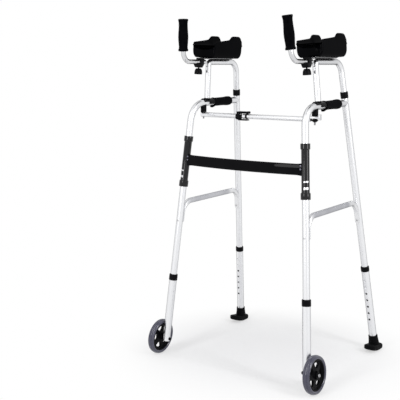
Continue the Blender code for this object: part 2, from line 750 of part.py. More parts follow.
def clamp_knob():
    top = height(KNOB_TOP_Z)
    tip = height(GRIP_TUBE_Z) - GRIP_TUBE_R - 0.0006 - top
    profile = [(0.0, tip), (0.0030, tip), (0.0030, 0.0), (0.0070, 0.0), (0.0098, -0.0010), (0.0122, -0.0045),
               (0.0137, -0.0095), (0.0143, -0.0150), (0.0143, -0.0195), (0.0130, -0.0205), (0.0, -0.0190)]
    return turned("knob", (0.0, knob_y(), top), (0.0, 0.0, 1.0), profile, 16, hint=(1.0, 0.0, 0.0),
                  matrix=SIDE)


def upright_base():
    """Corner where the level grip tube would meet the line of the upright grip."""
    h = height(GRIP_TUBE_Z)
    return Vector((0.0, UPRIGHT_GRIP_Y + UPRIGHT_LEAN * (1.100 - h) + 0.002, h))


def upright_dir():
    return Vector((0.0, -UPRIGHT_LEAN, 1.0)).normalized()


def grip_tube():
    h = height(GRIP_TUBE_Z)
    corner = upright_base()
    axis = upright_dir()
    top = corner + axis * (height(UPRIGHT_GRIP_H[1]) - h - 0.008) / axis.z
    corners = [Vector((0.0, BLOCK_Y[1] + 0.018, h)), corner, top]
    points, directions = filleted(corners, [UPRIGHT_BEND], [7])
    return tube("grip_tube", points, directions, GRIP_TUBE_R, GRIP_TUBE_BORE, 12, matrix=SIDE)


def upright_grip():
    h = height(GRIP_TUBE_Z)
    axis = upright_dir()
    low = (height(UPRIGHT_GRIP_H[0]) - h) / axis.z
    length = (height(UPRIGHT_GRIP_H[1]) - height(UPRIGHT_GRIP_H[0])) / axis.z
    bore = GRIP_TUBE_R + GAP
    roof = length - 0.0070
    profile = [(bore, 0.0), (0.0158, 0.0), (0.0171, 0.0014), (0.0171, 0.0052), (0.0156, 0.0074),
               (0.0154, 0.0160), (0.0168, 0.0330), (0.0176, 0.0480), (0.0166, 0.0660), (0.0156, 0.0820),
               (0.0156, length - 0.0095), (0.0170, length - 0.0068), (0.0170, length - 0.0020),
               (0.0150, length), (0.0, length), (0.0, roof),
               (bore, roof)]
    return turned_capped("upright_grip", upright_base() + axis * low, axis, profile, 18)


def turned_capped(name, origin, axis, profile, sides):
    """A turned piece with a blind bore: the profile touches the axis twice, at its top and at its roof."""
    top = profile.index(next(p for p in profile if p[0] <= 0.0))
    outer = profile[1:top + 1]
    full = [(0.0, profile[0][1])] + outer
    obj = turned(name, origin, axis, full, sides, hint=(1.0, 0.0, 0.0), matrix=SIDE)
    bore, roof = profile[-1]
    start = Vector(origin) - Vector(axis) * 0.01
    end = Vector(origin) + Vector(axis) * roof
    cut = straight("cut", start, end, bore, None, 14, matrix=SIDE)
    return combine(obj, [cut], "DIFFERENCE")


def sleeve():
    low = front_point(SLEEVE_Z[0])
    length = (front_point(SLEEVE_Z[1]) - low).length
    bore = UPPER_R + GAP
    profile = [(bore, 0.0), (0.0163, 0.0), (0.0163, 0.0205), (0.0134, 0.0230), (0.0134, length - 0.0200),
               (0.0160, length - 0.0180), (0.0160, length), (bore, length)]
    obj = turned("sleeve", low, FRONT_DIR, profile, 20, hint=(1.0, 0.0, 0.0), matrix=SIDE)
    cutters = []
    for z, tall in ((0.6765, 0.0050), (0.6552, 0.0080)):
        p = front_point(z)
        cutters.append(block("cut", (-0.0025, p.y - 0.03, p.z - tall / 2.0),
                             (0.03, p.y + 0.0025, p.z + tall / 2.0), matrix=SIDE))
    return combine(obj, cutters, "DIFFERENCE")


def bar_frame(share):
    """Point and direction of the crossbar's middle line; share runs from -1 (right) to 1 (left)."""
    leg = SIDE @ front_point(BAR_Z)
    half = leg.x
    radius = (half * half + BAR_BOW * BAR_BOW) / (2.0 * BAR_BOW)
    sweep_angle = math.asin(half / radius)
    angle = sweep_angle * share
    centre_y = leg.y - BAR_BOW + radius
    point = Vector((radius * math.sin(angle), centre_y - radius * math.cos(angle), BAR_Z))
    return point, Vector((math.cos(angle), math.sin(angle), 0.0))


def crossbar():
    rings = []
    shares = [-0.985, -0.945, -0.90, -0.86, -0.60, -0.30, 0.0, 0.30, 0.60, 0.86, 0.90, 0.945, 0.985]
    for share in shares:
        point, direction = bar_frame(share)
        across = Vector((-direction.y, direction.x, 0.0))
        end = max(0.0, (abs(share) - 0.86) / 0.125)
        tall = BAR_HEIGHT / 2.0 + 0.0045 * end * end
        deep = BAR_DEPTH / 2.0 + 0.0015 * end * end
        ring = []
        for k in range(14):
            angle = 2.0 * math.pi * (k + 0.5) / 14
            c = math.cos(angle)
            s = math.sin(angle)
            ring.append(point + across * (deep * math.copysign(abs(c) ** 0.7, c))
                        + Vector((0.0, 0.0, tall * math.copysign(abs(s) ** 0.62, s))))
        rings.append(ring)
    obj = lofted("crossbar", rings)
    cutters = []
    for sign in (1.0, -1.0):
        start = SIDE @ front_point(BAR_Z - 0.05)
        end = SIDE @ front_point(BAR_Z + 0.05)
        start.x *= sign
        end.x *= sign
        cutters.append(straight("cut", start, end, 0.0134 + GAP, None, 24, hint=(0.0, 1.0, 0.0)))
    combine(obj, rivet_heads(), "UNION")
    return combine(obj, cutters, "DIFFERENCE")


def rivet_heads():
    """Four low rivet heads on the bar's front face near its ends."""
    heads = []
    for sign in (-1.0, 1.0):
        for dz in (0.0085, -0.0085):
            point, direction = bar_frame(0.90 * sign)
            across = Vector((direction.y, -direction.x, 0.0))
            base = point + across * (BAR_DEPTH / 2.0 - 0.0020) + Vector((0.0, 0.0, dz))
            profile = [(0.0, 0.0), (0.0036, 0.0), (0.0036, 0.0028), (0.0022, 0.0038), (0.0, 0.0041)]
            heads.append(turned("head", base, across, profile, 8, hint=(0.0, 0.0, 1.0)))
    return heads


def left_strut_rod():
    """Round rod with a flat lug for the bolt at its outer end and an end plate across the lug."""
    x = bolt_x()
    low, high = LUG_Z
    obj = straight("rod", (LEFT_ROD_TIP, STRUT_Y, STRUT_Z), (x - LUG_LENGTH[0] + 0.0060, STRUT_Y, STRUT_Z),
                   STRUT_R, STRUT_BORE, 16, hint=(0.0, 1.0, 0.0))
    far = x + LUG_LENGTH[1]
    lug = block("lug", (x - LUG_LENGTH[0], STRUT_Y - LUG_HALF, low), (far, STRUT_Y + LUG_HALF, high),
                chamfer=0.0012, segments=1)
    lip = block("lip", (far - 0.0032, STRUT_Y - LUG_HALF + 0.0005, LUG_LIP_Z[0]),
                (far - 0.0002, STRUT_Y + LUG_HALF - 0.0005, LUG_LIP_Z[1]), chamfer=0.0010, segments=1)
    combine(obj, [lug, lip], "UNION")
    cut = straight("cut", (x, STRUT_Y, STRUT_Z - 0.02), (x, STRUT_Y, STRUT_Z + 0.02), 0.0034, None, 8)
    return combine(obj, [cut], "DIFFERENCE")


def right_strut_rod():
    """Round rod whose outer end hangs on the right bolt."""
    x = -bolt_x()
    obj = straight("rod", (x - RIGHT_ROD_TAIL, STRUT_Y, STRUT_Z), (RIGHT_ROD_TIP, STRUT_Y, STRUT_Z), STRUT_R,
                   STRUT_BORE, 16, hint=(0.0, 1.0, 0.0))
    cut = straight("cut", (x, STRUT_Y, STRUT_Z - 0.02), (x, STRUT_Y, STRUT_Z + 0.02), 0.0034, None, 8)
    return combine(obj, [cut], "DIFFERENCE")


def rounded_outline(low, high, radius, steps=2):
    """Corner-rounded rectangle as (x, z) points."""
    outline = []
    centres = [(high[0] - radius, high[1] - radius, 0.0), (low[0] + radius, high[1] - radius, 90.0),
               (low[0] + radius, low[1] + radius, 180.0), (high[0] - radius, low[1] + radius, 270.0)]
    for x, z, start in centres:
        for k in range(steps + 1):
            angle = math.radians(start + 90.0 * k / steps)
            outline.append((x + radius * math.cos(angle), z + radius * math.sin(angle)))
    return outline


def plate_along_y(name, outline, half):
    rings = [[Vector((x, STRUT_Y + y, z)) for x, z in outline] for y in (-half, half)]
    return lofted(name, rings)


def lock_body():
    """Rounded body on the right rod, ears for the latch pin and the lower prong under the ring."""
    left, right = LOCK_BODY_X
    x, z = LATCH_PIN
    body = plate_along_y("body", rounded_outline((left, 0.8585), (right, 0.8785), 0.0065), LOCK_HALF)
    ears = []
    for side in (-1.0, 1.0):
        near, far = sorted((side * 0.0081, side * 0.0104))
        ears.append(block("ear", (x - 0.0052, STRUT_Y + near, 0.8720), (x + 0.0046, STRUT_Y + far, 0.8866),
                          chamfer=0.0010, segments=1))
    prong = plate_along_y("prong", rounded_outline((-0.0710, 0.8556), (-0.0340, 0.8601), 0.0018), 0.0086)
    combine(body, ears + [prong], "UNION")
    pin = straight("cut", (x, STRUT_Y - 0.0100, z), (x, STRUT_Y + 0.0100, z), 0.0022, None, 8)
    rod = straight("cut", (left - 0.04, STRUT_Y, STRUT_Z), (RIGHT_ROD_TIP + 0.0004, STRUT_Y, STRUT_Z),
                   STRUT_R + GAP, None, 16, hint=(0.0, 1.0, 0.0))
    return combine(body, [pin, rod], "DIFFERENCE")


def lock_ring():
    """Ring round the inner end of the left rod, which the latch closes over."""
    start, end = LOCK_RING_X
    bore = STRUT_R + GAP
    length = end - start
    profile = [(bore, 0.0), (0.0086, 0.0), (0.0090, 0.0008), (0.0090, length - 0.0008), (0.0086, length),
               (bore, length)]
    return turned("ring", (start, STRUT_Y, STRUT_Z), (1.0, 0.0, 0.0), profile, 20)


def lock_latch():
    """Latch arm over the ring, with a round tab at its free end and stub pins at its hinge."""
    x, z = LATCH_PIN
    arm = plate_along_y("latch", rounded_outline((x - 0.0032, 0.8796), (-0.0330, 0.8870), 0.0030), 0.0078)
    tab = straight("tab", (-0.0335, STRUT_Y - 0.0084, 0.8833), (-0.0335, STRUT_Y + 0.0084, 0.8833), 0.0046,
                   None, 12)
    pin = straight("pin", (x, STRUT_Y - 0.0096, z), (x, STRUT_Y + 0.0096, z), 0.0018, None, 8)
    return combine(arm, [tab, pin], "UNION")


def place_of(empty):
    """World place of an empty; none of them is turned."""
    if empty is None:
        return Vector((0.0, 0.0, 0.0))
    return empty.location + place_of(empty.parent)


def hang(name, parent, point, pieces):
    """Puts pieces under an empty on their joint's axis, itself under the empty of what carries it."""
    empty = bpy.data.objects.new(name, None)
    bpy.context.scene.collection.objects.link(empty)
    empty.parent = parent
    empty.location = Vector(point) - place_of(parent)
    for piece in pieces:
        obj = bpy.data.objects[piece]
        obj.data.transform(Matrix.Translation(-Vector(point)))
        obj.parent = empty
    return empty


FRAME_PIECES = ("front_tube", "rear_upright", "top_collar", "handle_grip", "side_brace", "spacer_block",
                "strut_bolt")
ARMREST_PIECES = ("arm_tube", "saddle", "cuff", "cuff_plate", "clamp_block")


def hang_side(side, mirror):
    """Hangs the moving pieces of one side; returns the empty of its side frame."""

    def under(name, parent, point, pieces):
        return hang(f"{side}_{name}", parent, mirror @ SIDE @ point, [f"{side}_{piece}" for piece in pieces])

    knob = Vector((0.0, knob_y(), height(KNOB_TOP_Z)))
    bar = Vector((0.0, knob_y(), height(GRIP_TUBE_Z)))
    frame = under("frame", None, front_point(BAR_Z), FRAME_PIECES)
    front_leg = under("front_leg", frame, front_point(BUTTON_Z),
                      ("front_lower_tube", "front_collar", "axle_bolt"))
    under("wheel", front_leg, axle_point(WHEEL_OUT), ("tyre", "wheel_hub"))
    under("rear_leg", frame, rear_point(BUTTON_Z), ("rear_lower_tube", "rear_collar", "foot"))
    under("front_catch", frame, front_point(BUTTON_Z), ("front_button",))
    under("rear_catch", frame, rear_point(BUTTON_Z), ("rear_button",))
    armrest = under("armrest", frame, rear_point(TOP_COLLAR_Z[0]), ARMREST_PIECES)
    under("forearm_grip", armrest, bar, ("grip_tube", "upright_grip"))
    under("clamp_screw", armrest, knob, ("clamp_knob",))
    return frame


def hang_strut(left_frame, right_frame):
    """Hangs the two rods on their bolts, with the lock's pieces and the nut."""
    x = bolt_x()
    hang("left_strut", left_frame, (x, STRUT_Y, STRUT_Z), ("left_strut_rod", "lock_ring"))
    right_strut = hang("right_strut", right_frame, (-x, STRUT_Y, STRUT_Z), ("right_strut_rod", "lock_body"))
    hang("latch", right_strut, (LATCH_PIN[0], STRUT_Y, LATCH_PIN[1]), ("lock_latch",))
    hang("nut", left_frame, (x, STRUT_Y, LUG_Z[0]), ("thumb_nut",))


def build():
    clear_scene()
    finish(crossbar(), "crossbar", "gloss_black")
    both(sleeve(), "sleeve", "black_plastic")
    both(front_tube(), "front_tube", "aluminium")
    both(rear_upright(), "rear_upright", "aluminium")
    both(top_collar(), "top_collar", "black_plastic")
    both(handle_grip(), "handle_grip", "black_foam")
    both(side_brace(), "side_brace", "aluminium")
    finish(spacer_block(LUG_Z[1] + 0.0006), "left_spacer_block", "black_plastic")
    on_right(spacer_block(STRUT_Z + STRUT_R + 0.0006), "right_spacer_block", "black_plastic")
    finish(strut_bolt(0.8510), "left_strut_bolt", "steel")
    on_right(strut_bolt(0.8555), "right_strut_bolt", "steel")
    finish(thumb_nut(), "thumb_nut", "black_plastic")
    both(front_lower_tube(), "front_lower_tube", "aluminium")
    both(lower_collar(front_point, FRONT_DIR, FRONT_COLLAR_Z), "front_collar", "black_plastic")
    both(axle_bolt(), "axle_bolt", "steel")
    both(tyre(), "tyre", "grey_rubber")
    finish(hub(HUB_TURNS[0]), "left_wheel_hub", "black_plastic")
    on_right(hub(HUB_TURNS[1]), "right_wheel_hub", "black_plastic")
    both(rear_lower_tube(), "rear_lower_tube", "aluminium")
    both(lower_collar(rear_point, REAR_DIR, REAR_COLLAR_Z), "rear_collar", "black_plastic")
    both(foot(), "foot", "black_rubber")
    both(snap_button(front_point, FRONT_DIR, 1.0), "front_button", "grey_plastic")
    both(snap_button(rear_point, REAR_DIR, -1.0), "rear_button", "grey_plastic")
    both(arm_tube(), "arm_tube", "aluminium")
    both(saddle(), "saddle", "black_plastic")
    both(cuff(), "cuff", "black_foam")
    both(cuff_plate(), "cuff_plate", "steel")
    both(clamp_block(), "clamp_block", "black_plastic")
    both(clamp_knob(), "clamp_knob", "black_plastic")
    both(grip_tube(), "grip_tube", "steel")
    both(upright_grip(), "upright_grip", "black_rubber")
    finish(left_strut_rod(), "left_strut_rod", "aluminium")
    finish(right_strut_rod(), "right_strut_rod", "aluminium")
    finish(lock_body(), "lock_body", "black_plastic")
    finish(lock_ring(), "lock_ring", "black_plastic")
    finish(lock_latch(), "lock_latch", "black_plastic")
    left_frame = hang_side("left", Matrix.Identity(4))
    right_frame = hang_side("right", Matrix.Diagonal((-1.0, 1.0, 1.0, 1.0)))
    hang_strut(left_frame, right_frame)


build()
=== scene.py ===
"""Wheeled walker with forearm supports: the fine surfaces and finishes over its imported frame.

Both sides are mirror copies. Every piece of a side is drawn on the left in leaning coordinates
(o outward, y to the rear, h up along the side frame), placed by SidePlane, and copied to the right.
"""

from __future__ import annotations

import logging
import math
from dataclasses import dataclass
from enum import Enum
from functools import cache
from typing import Callable, Iterable, Sequence

import bmesh
import bpy
from mathutils import Matrix, Vector

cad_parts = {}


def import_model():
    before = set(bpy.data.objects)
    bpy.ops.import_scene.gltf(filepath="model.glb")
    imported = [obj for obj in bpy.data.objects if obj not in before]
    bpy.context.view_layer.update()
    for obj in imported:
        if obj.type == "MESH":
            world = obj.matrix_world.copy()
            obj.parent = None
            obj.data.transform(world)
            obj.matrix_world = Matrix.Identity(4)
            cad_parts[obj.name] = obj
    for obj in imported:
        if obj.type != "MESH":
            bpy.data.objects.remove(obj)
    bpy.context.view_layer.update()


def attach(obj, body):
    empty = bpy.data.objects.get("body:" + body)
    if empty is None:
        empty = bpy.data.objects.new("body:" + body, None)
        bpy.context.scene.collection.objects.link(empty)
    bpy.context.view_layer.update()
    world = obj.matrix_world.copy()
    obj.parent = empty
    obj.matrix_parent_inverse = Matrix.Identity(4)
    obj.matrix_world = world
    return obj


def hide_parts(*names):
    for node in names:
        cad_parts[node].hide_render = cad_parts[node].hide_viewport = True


LOG = logging.getLogger("walker")

Profile = Sequence[tuple[float, float]]
AxisPoint = Callable[[float], Vector]
Link = tuple[bpy.types.Node, str | int, bpy.types.Node, str | int]

X_AXIS = Vector((1.0, 0.0, 0.0))
Y_AXIS = Vector((0.0, 1.0, 0.0))
Z_AXIS = Vector((0.0, 0.0, 1.0))
BASE = "base"


class Side(Enum):
    """The two sides of the walker; the value is the sign of X."""

    LEFT = 1.0
    RIGHT = -1.0

    @property
    def word(self) -> str:
        """The side's name as used in node and body names."""
        return self.name.lower()


class Facing(Enum):
    """Which way the row of leg holes looks."""

    REARWARD = 1.0
    FORWARD = -1.0


class Joining(Enum):
    """What one solid does to another; the value is Blender's word for it."""

    UNITE = "UNION"
    CUT = "DIFFERENCE"


@dataclass(frozen=True)
class SidePlane:
    """Leaning coordinates and shared sizes of one side frame."""

    pivot_z: float = 0.900
    half_width: float = 0.2234
    splay: float = 0.0760
    toe: float = 0.0070
    front_base: float = -0.180
    front_lean: float = 0.079
    rear_base: float = 0.110
    rear_lean: float = 0.173
    centre_y: float = 0.00505
    handle_z: float = 0.912
    handle_slope: float = 0.016
    strut_y: float = -0.10595
    strut_z: float = 0.870
    upper_radius: float = 0.0115
    lower_radius: float = 0.0136
    arm_radius: float = 0.0100
    gap: float = 0.0003

    @property
    def angle(self) -> float:
        """Sideways lean of the frame in radians."""
        return math.atan(self.splay)

    @property
    def matrix(self) -> Matrix:
        """Places leaning coordinates in the world, on the left side."""
        return (Matrix.Translation((self.half_width, self.front_base + self.centre_y, self.pivot_z))
                @ Matrix.Rotation(-self.toe, 4, "Z") @ Matrix.Rotation(-self.angle, 4, "Y")
                @ Matrix.Translation((0.0, -self.front_base, -self.pivot_z)))

    @property
    def front_dir(self) -> Vector:
        """Direction of the front leg, upward."""
        return Vector((0.0, self.front_lean, 1.0)).normalized()

    @property
    def rear_dir(self) -> Vector:
        """Direction of the rear leg, upward."""
        return Vector((0.0, -self.rear_lean, 1.0)).normalized()

    @property
    def handle_dir(self) -> Vector:
        """Direction of the handle tube, to the rear."""
        return Vector((0.0, 1.0, self.handle_slope)).normalized()

    def height(self, z: float) -> float:
        """Height along the frame of the world height z."""
        return self.pivot_z + (z - self.pivot_z) / math.cos(self.angle)

    def front_y(self, h: float) -> float:
        """Fore-and-aft place of the front leg's axis at height h."""
        return self.front_base - self.front_lean * (self.pivot_z - h)

    def rear_y(self, h: float) -> float:
        """Fore-and-aft place of the rear leg's axis at height h."""
        return self.rear_base + self.rear_lean * (self.pivot_z - h)

    def front(self, z: float) -> Vector:
        """Point of the front leg's axis at world height z."""
        return Vector((0.0, self.front_y(self.height(z)), self.height(z)))

    def rear(self, z: float) -> Vector:
        """Point of the rear leg's axis at world height z."""
        return Vector((0.0, self.rear_y(self.height(z)), self.height(z)))

    def handle(self, y: float) -> Vector:
        """Point of the handle tube's axis at y."""
        return Vector((0.0, y, self.height(self.handle_z) + self.handle_slope * (y - self.strut_y)))

    @property
    def bolt_x(self) -> float:
        """World X of the left strut bolt."""
        return (self.matrix @ Vector((0.0, self.strut_y, self.height(self.handle_z)))).x


PLANE = SidePlane()


@dataclass
class Path:
    """A line in space: points and the direction at each."""

    points: list[Vector]
    directions: list[Vector]

    @classmethod
    def line(cls, start: Sequence[float], end: Sequence[float]) -> "Path":
        """A straight path from start to end."""
        way = (Vector(end) - Vector(start)).normalized()
        return cls([Vector(start), Vector(end)], [way, way])

    @classmethod
    def bent(cls, corners: Sequence[Sequence[float]], radii: Sequence[float], steps: int = 20) -> "Path":
        """A path through corners whose inner corners are arcs.

        Args:
            corners: The points that the straight stretches aim at.
            radii: One bend radius for each inner corner.
            steps: Number of stretches in each arc.

        Returns:
            The path with its arcs.
        """
        spots = [Vector(c) for c in corners]
        path = cls([spots[0]], [(spots[1] - spots[0]).normalized()])
        for i, radius in enumerate(radii, start=1):
            before = (spots[i] - spots[i - 1]).normalized()
            after = (spots[i + 1] - spots[i]).normalized()
            turn = before.angle(after)
            start = spots[i] - before * (radius * math.tan(turn / 2.0))
            side = (after - before * before.dot(after)).normalized()
            centre = start + side * radius
            for k in range(steps + 1):
                angle = turn * k / steps
                outward = side * (radius * math.cos(angle))
                onward = before * (radius * math.sin(angle))
                path.points.append(centre - outward + onward)
                path.directions.append(before * math.cos(angle) + side * math.sin(angle))
        path.points.append(spots[-1])
        path.directions.append((spots[-1] - spots[-2]).normalized())
        return path

    def lengths(self) -> list[float]:
        """Measures the path.

        Returns:
            The distance along the path of each point.
        """
        total = 0.0
        found = [0.0]
        for a, b in zip(self.points, self.points[1:]):
            total += (b - a).length
            found.append(total)
        return found


def linked(name: str, data: bpy.types.ID) -> bpy.types.Object:
    """Makes an object and links it to the scene.

    Args:
        name: Name of the object.
        data: Its mesh, lamp or camera.

    Returns:
        The object.
    """
    obj = bpy.data.objects.new(name, data)
    bpy.context.scene.collection.objects.link(obj)
    return obj


def mirrored(obj: bpy.types.Object) -> bpy.types.Object:
    """Mirrors an object's mesh from one side of the walker to the other.

    Args:
        obj: The object, whose mesh is changed.

    Returns:
        The same object.
    """
    obj.data.transform(Matrix.Diagonal((-1.0, 1.0, 1.0, 1.0)))
    obj.data.flip_normals()
    return obj


def mesh_object(name: str, verts: Iterable[Vector], faces: Iterable[Sequence[int]],
                matrix: Matrix | None = None) -> bpy.types.Object:
    """Makes a mesh object with its faces turned outward.

    Args:
        name: Name of the object.
        verts: The points.
        faces: Point numbers of each face.
        matrix: Placement of the points, if any.

    Returns:
        The linked object.
    """
    mesh = bpy.data.meshes.new(name)
    mesh.from_pydata([tuple(v) for v in verts], [], [tuple(f) for f in faces])
    if matrix is not None:
        mesh.transform(matrix)
    bm = bmesh.new()
    bm.from_mesh(mesh)
    bmesh.ops.recalc_face_normals(bm, faces=bm.faces)
    bm.to_mesh(mesh)
    bm.free()
    return linked(name, mesh)


def across(direction: Vector, hint: Sequence[float]) -> tuple[Vector, Vector]:
    """Finds two unit vectors across a direction.

    Args:
        direction: The direction.
        hint: Where the first vector should point, as nearly as it can.

    Returns:
        The first vector and the one across both.
    """
    along = direction.normalized()
    first = (Vector(hint) - along * along.dot(Vector(hint))).normalized()
    return first, along.cross(first)


def ring_angles(sides: int) -> list[float]:
    """Angles of a ring's corners, half a step away from its first axis."""
    return [math.tau * (k + 0.5) / sides for k in range(sides)]


def oval(centre: Vector, axes: tuple[Vector, Vector], halves: tuple[float, float],
         powers: tuple[float, float] = (1.0, 1.0), sides: int = 32) -> list[Vector]:
    """A ring that is an ellipse, or fuller than one towards its corners.

    Args:
        centre: Middle of the ring.
        axes: Directions of its two axes.
        halves: Half of its size along each.
        powers: Exponent for each axis; 1 for an ellipse, less for fuller corners.
        sides: Number of sides.

    Returns:
        The ring's points.
    """
    ring = []
    for angle in ring_angles(sides):
        c = math.copysign(abs(math.cos(angle)) ** powers[0], math.cos(angle))
        s = math.copysign(abs(math.sin(angle)) ** powers[1], math.sin(angle))
        ring.append(centre + axes[0] * (halves[0] * c) + axes[1] * (halves[1] * s))
    return ring


def lofted(name: str, rings: Sequence[Sequence[Vector]], matrix: Matrix | None = None,
           closed: bool = False) -> bpy.types.Object:
    """Joins rings of equal size.

    Args:
        name: Name of the object.
        rings: The rings of points.
        matrix: Placement of the points, if any.
        closed: Whether the last ring joins the first, in place of end faces.

    Returns:
        The object.
    """
    size = len(rings[0])
    last = len(rings) - 1
    faces: list[Sequence[int]] = []
    for i, j in [(i, i + 1) for i in range(last)] + ([(last, 0)] if closed else []):
        for k in range(size):
            n = (k + 1) % size
            faces.append((i * size + k, i * size + n, j * size + n, j * size + k))
    if not closed:
        faces.append(range(size))
        faces.append(range(last * size, len(rings) * size))
    return mesh_object(name, [v for ring in rings for v in ring], faces, matrix)


def tube(name: str, path: Path, radius: float, bore: float | None = None, sides: int = 40,
         matrix: Matrix | None = None, hint: Sequence[float] = X_AXIS) -> bpy.types.Object:
    """A round tube or rod along a path, with a fine chamfer at both ends.

    Args:
        name: Name of the object.
        path: The axis.
        radius: Outer radius.
        bore: Inner radius, or None for a solid rod.
        sides: Number of sides.
        matrix: Placement, if any.
        hint: Direction that the first corner of each ring faces.

    Returns:
        The object.
    """
    edge = min(0.0005, radius * 0.08)
    first, last = path.points[0], path.points[-1]
    start_way, end_way = path.directions[0], path.directions[-1]
    inner = list(zip(path.points[1:-1], path.directions[1:-1]))
    stations = [(first, start_way, radius - edge), (first + start_way * edge, start_way, radius)]
    stations += [(point, way, radius) for point, way in inner]
    stations += [(last - end_way * edge, end_way, radius), (last, end_way, radius - edge)]
    if bore is not None:
        stations.append((last, end_way, bore))
        stations += [(point, way, bore) for point, way in reversed(inner)]
        stations.append((first, start_way, bore))
    rings = [oval(point, across(way, hint), (reach, reach), sides=sides) for point, way, reach in stations]
    return lofted(name, rings, matrix, closed=bore is not None)


def cut_corner(before: Vector, here: Vector, after: Vector, reach: float, steps: int = 3) -> list[Vector]:
    """A smooth curve in place of a corner.

    Args:
        before: Point ahead of the corner.
        here: The corner.
        after: Point behind the corner.
        reach: Distance from the corner at which the curve starts and ends.
        steps: Number of stretches in the curve.

    Returns:
        The curve's points.
    """
    start = here + (before - here).normalized() * reach
    end = here + (after - here).normalized() * reach
    shares = [k / steps for k in range(steps + 1)]
    return [start * (1 - t) ** 2 + here * (2 * t * (1 - t)) + end * t ** 2 for t in shares]


def softened(profile: Profile, radius: float) -> list[tuple[float, float]]:
    """Rounds the corners of a profile.

    Args:
        profile: Points of (radius, distance); its two end points stay.
        radius: Corner radius, made smaller where a stretch is short.

    Returns:
        The finer profile.
    """
    straight = math.radians(176.0)
    points = [Vector(p) for p in profile]
    found = [points[0]]
    for before, here, after in zip(points, points[1:], points[2:]):
        reach = min(radius, (before - here).length * 0.45, (after - here).length * 0.45)
        if reach < 1e-5 or (before - here).angle(after - here) > straight:
            found.append(here)
        else:
            found += cut_corner(before, here, after, reach)
    return [tuple(point) for point in found + [points[-1]]]


def turned(name: str, origin: Sequence[float], axis: Sequence[float], profile: Profile, sides: int = 40,
           matrix: Matrix | None = None, hint: Sequence[float] = X_AXIS,
           shape: Sequence[float] | None = None) -> bpy.types.Object:
    """Turns a profile about an axis.

    Args:
        name: Name of the object.
        origin: Point where the profile's distance is 0.
        axis: Direction of the axis.
        profile: Points of (radius, distance); it is a loop unless both its ends lie on the axis.
        sides: Number of sides.
        matrix: Placement, if any.
        hint: Direction that the first corner faces.
        shape: A factor on the radius for each side, for lobes, flats and flutes.

    Returns:
        The object.
    """
    base = Vector(origin)
    along = Vector(axis).normalized()
    first, second = across(along, hint)
    factors = shape or [1.0] * sides
    verts: list[Vector] = []
    rows: list[list[int]] = []
    for radius, distance in profile:
        if radius <= 1e-7:
            rows.append([len(verts)] * sides)
            verts.append(base + along * distance)
            continue
        rows.append(list(range(len(verts), len(verts) + sides)))
        for angle, factor in zip(ring_angles(sides), factors):
            out = first * math.cos(angle) + second * math.sin(angle)
            verts.append(base + along * distance + out * (radius * factor))
    pairs = list(zip(rows, rows[1:]))
    if profile[0][0] > 1e-7 or profile[-1][0] > 1e-7:
        pairs.append((rows[-1], rows[0]))
    faces = []
    for one, two in pairs:
        for k in range(sides):
            n = (k + 1) % sides
            face = tuple(dict.fromkeys((one[k], one[n], two[n], two[k])))
            if len(face) > 2:
                faces.append(face)
    return mesh_object(name, verts, faces, matrix)


def waves(count: int, depth: float, sides: int = 48) -> list[float]:
    """Factors on a turned piece's radius that give it lobes.

    Args:
        count: Number of lobes.
        depth: Depth of the hollows between them, as a share of the radius.
        sides: Number of sides of the piece.

    Returns:
        A factor for each side.
    """
    return [1.0 - depth * (0.5 - 0.5 * math.cos(count * angle)) for angle in ring_angles(sides)]


def prism(name: str, outline: Sequence[tuple[float, float]], width: tuple[float, float], edge: float,
          matrix: Matrix | None = None) -> bpy.types.Object:
    """A block of a given side outline with rounded edges.

    Args:
        name: Name of the object.
        outline: Corners of (y, h), in order.
        width: Where it starts and ends outward.
        edge: Radius of the edges, or 0 for sharp ones.
        matrix: Placement, if any.

    Returns:
        The object.
    """
    obj = lofted(name, [[Vector((o, y, h)) for y, h in outline] for o in width])
    if edge > 0.0:
        bm = bmesh.new()
        bm.from_mesh(obj.data)
        bmesh.ops.bevel(bm, geom=bm.edges[:], offset=edge, segments=3, affect="EDGES", profile=0.5)
        bm.to_mesh(obj.data)
        bm.free()
    if matrix is not None:
        obj.data.transform(matrix)
    return obj


def slab(name: str, low: Sequence[float], high: Sequence[float], edge: float = 0.0,
         matrix: Matrix | None = None) -> bpy.types.Object:
    """A block between two opposite corners, with rounded edges where edge isn't 0."""
    outline = [(low[1], low[2]), (high[1], low[2]), (high[1], high[2]), (low[1], high[2])]
    return prism(name, outline, (low[0], high[0]), edge, matrix)


def combined(target: bpy.types.Object, others: Sequence[bpy.types.Object], joining: Joining
             ) -> bpy.types.Object:
    """Applies exact Booleans of the others to the target.

    Args:
        target: The object that is changed.
        others: The tools, which are removed.
        joining: What the tools do to the target.

    Returns:
        The target.
    """
    for other in others:
        modifier = target.modifiers.new("combine", "BOOLEAN")
        modifier.operation = joining.value
        modifier.solver = "EXACT"
        modifier.object = other
    graph = bpy.context.evaluated_depsgraph_get()
    mesh = bpy.data.meshes.new_from_object(target.evaluated_get(graph))
    target.modifiers.clear()
    target.data = mesh
    for other in others:
        bpy.data.objects.remove(other, do_unlink=True)
    return target


def merged(parts: Sequence[bpy.types.Object]) -> bpy.types.Object:
    """Puts several meshes into one, as loose shells.

    Args:
        parts: The objects; all but the first are removed.

    Returns:
        The first object.
    """
    bm = bmesh.new()
    for part in parts:
        bm.from_mesh(part.data)
    bm.to_mesh(parts[0].data)
    bm.free()
    for part in parts[1:]:
        bpy.data.objects.remove(part, do_unlink=True)
    return parts[0]


